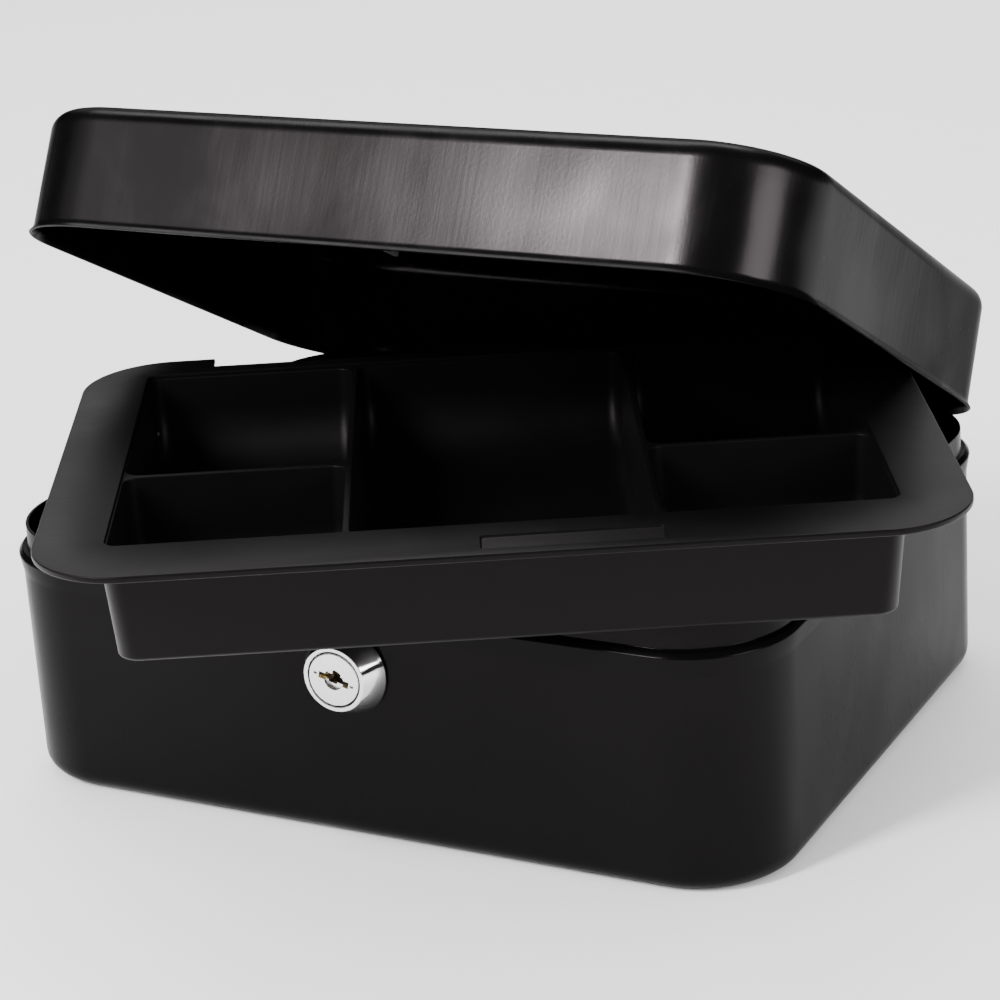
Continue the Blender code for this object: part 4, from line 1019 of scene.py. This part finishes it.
def make_tray():
    bm = bmesh.new()
    edge, thick = 0.0004, 0.0015
    flange = []
    for step in range(4):
        angle = math.pi / 2 * step / 3
        inset, drop = edge * (1 - math.sin(angle)), edge * (1 - math.cos(angle))
        flange.append(add_loop(bm, flange_outline(inset), -drop))
    for step in range(4):
        angle = math.pi / 2 * step / 3
        inset, rise = edge * (1 - math.cos(angle)), edge * (1 - math.sin(angle))
        flange.append(add_loop(bm, flange_outline(inset), rise - thick))
    loft(bm, flange, cap_first=False, cap_last=False)
    lip = 0.0003
    mouth = []
    for step in range(4):
        angle = math.pi / 2 * step / 3
        out = lip * (1 - math.sin(angle))
        mouth.append(add_loop(bm, opening_outline(out, 0.0030 + out, 8), -lip * (1 - math.cos(angle))))
    mouth.append(add_loop(bm, opening_outline(0.0, 0.0030, 8), -DIVIDER_DROP))
    loft(bm, mouth, cap_first=False, cap_last=False)
    sunk = 0.0004
    x_low, x_high, y_low, y_high = PAD
    pad = [add_loop(bm, rounded_outline(x_low + s, x_high - s, y_low + s, y_high - s, 0.0008, steps=4), -s)
           for s in (0.0, sunk * 0.4, sunk)]
    loft(bm, pad, cap_first=False)
    fill_between(bm, flange[0], mouth[0], pad[0])
    mouths = []
    for pocket in tray_pockets():
        loops = [add_loop(bm, outline, z) for outline, z in pocket_rings(*pocket)]
        loft(bm, loops, cap_first=False)
        mouths.append(loops[0])
    fill_between(bm, mouth[-1], *mouths)
    tub = []
    depth, rounding = TRAY_DEEP - thick, 0.0012
    heights = [depth] + [rounding * (1 - math.sin(math.radians(a))) for a in range(0, 91, 10)]
    for height in heights:
        draft = 0.0019 * (1 - height / depth)
        turn_in = rounding - math.sqrt(max(rounding ** 2 - max(rounding - height, 0.0) ** 2, 0.0))
        out = TRAY_WALL - draft - turn_in
        tub.append(add_loop(bm, opening_outline(out, 0.0046, 12), -TRAY_DEEP + height))
    loft(bm, tub, cap_first=False)
    fill_between(bm, flange[-1], tub[0])
    tray = piece("coin_tray_fine", bm, tray_plastic, "tray", "coin_tray", slot="black_plastic")
    tray.data.materials.append(pad_plastic)
    for polygon in tray.data.polygons:
        x, y, z = polygon.center
        on_pad = x_low < x < x_high and y_low < y < y_high and -1.25 * sunk < z < -0.25 * sunk
        if on_pad and polygon.normal.z > 0.9:
            polygon.material_index = 1


# ---- studio -------------------------------------------------------------------------
LIGHTS_AIM = Vector((0.05, -0.04, 0.11))


def softbox(name, azimuth, rise, distance, size, glow):
    """Area light aimed at the box; azimuth is in degrees from -Y towards +X."""
    light = bpy.data.lights.new(name, "AREA")
    light.shape = "RECTANGLE"
    light.size, light.size_y = size
    light.energy = glow * math.pi * size[0] * size[1]
    made = bpy.data.objects.new(name, light)
    turn, lift = math.radians(azimuth), math.radians(rise)
    level = math.cos(lift)
    direction = Vector((math.sin(turn) * level, -math.cos(turn) * level, math.sin(lift)))
    made.location = LIGHTS_AIM + direction * distance
    made.rotation_euler = direction.to_track_quat("Z", "Y").to_euler()
    bpy.context.scene.collection.objects.link(made)
    return made


def make_studio():
    n = Nodes("studio_floor")
    grain = n.noise(n.coords(), 60, 3, 0.6)
    n.set(Base_Color=n.mix(grain, grey(0.88), grey(0.92)), Roughness=0.85)
    bm = bmesh.new()
    bmesh.ops.create_grid(bm, x_segments=1, y_segments=1, size=6)
    mesh = bpy.data.meshes.new("floor")
    bm.to_mesh(mesh)
    bm.free()
    mesh.materials.append(n.material)
    floor = bpy.data.objects.new("floor", mesh)
    floor.location = (0, 0, -0.0002)
    bpy.context.scene.collection.objects.link(floor)

    world = bpy.data.worlds.new("studio")
    world.use_nodes = True
    background = world.node_tree.nodes["Background"]
    background.inputs["Color"].default_value = (1, 1, 1, 1)
    background.inputs["Strength"].default_value = 1.5
    world.cycles_visibility.glossy = False
    bpy.context.scene.world = world

    softbox("key", -23, 36, 1.3, (0.18, 0.50), 90)
    softbox("side", 77, 22, 1.3, (0.60, 0.60), 8.5)
    softbox("rear_low", -155, 22, 1.6, (1.7, 0.5), 1.5)
    softbox("rear_high", -145, 54, 1.5, (1.4, 0.6), 5.0)
    softbox("left", -62, 26, 1.5, (0.7, 0.6), 0.8)
    softbox("fill", -45, 34, 1.3, (0.50, 0.50), 1.3)


def make_camera():
    data = bpy.data.cameras.new("camera")
    data.sensor_width = 36.0
    data.lens = 105.6
    data.clip_start = 0.01
    camera = bpy.data.objects.new("camera", data)
    camera.location = (0.3238, -0.6024, 0.3067)
    camera.rotation_euler = [math.radians(a) for a in (69.81, 3.56, 27.00)]
    bpy.context.scene.collection.objects.link(camera)
    bpy.context.scene.camera = camera


make_base()
make_lid()
make_leaves()
make_rivets()
make_catch()
make_handle()
make_lock()
make_lock_inside()
make_tray()
make_studio()
make_camera()

bpy.context.view_layer.update()
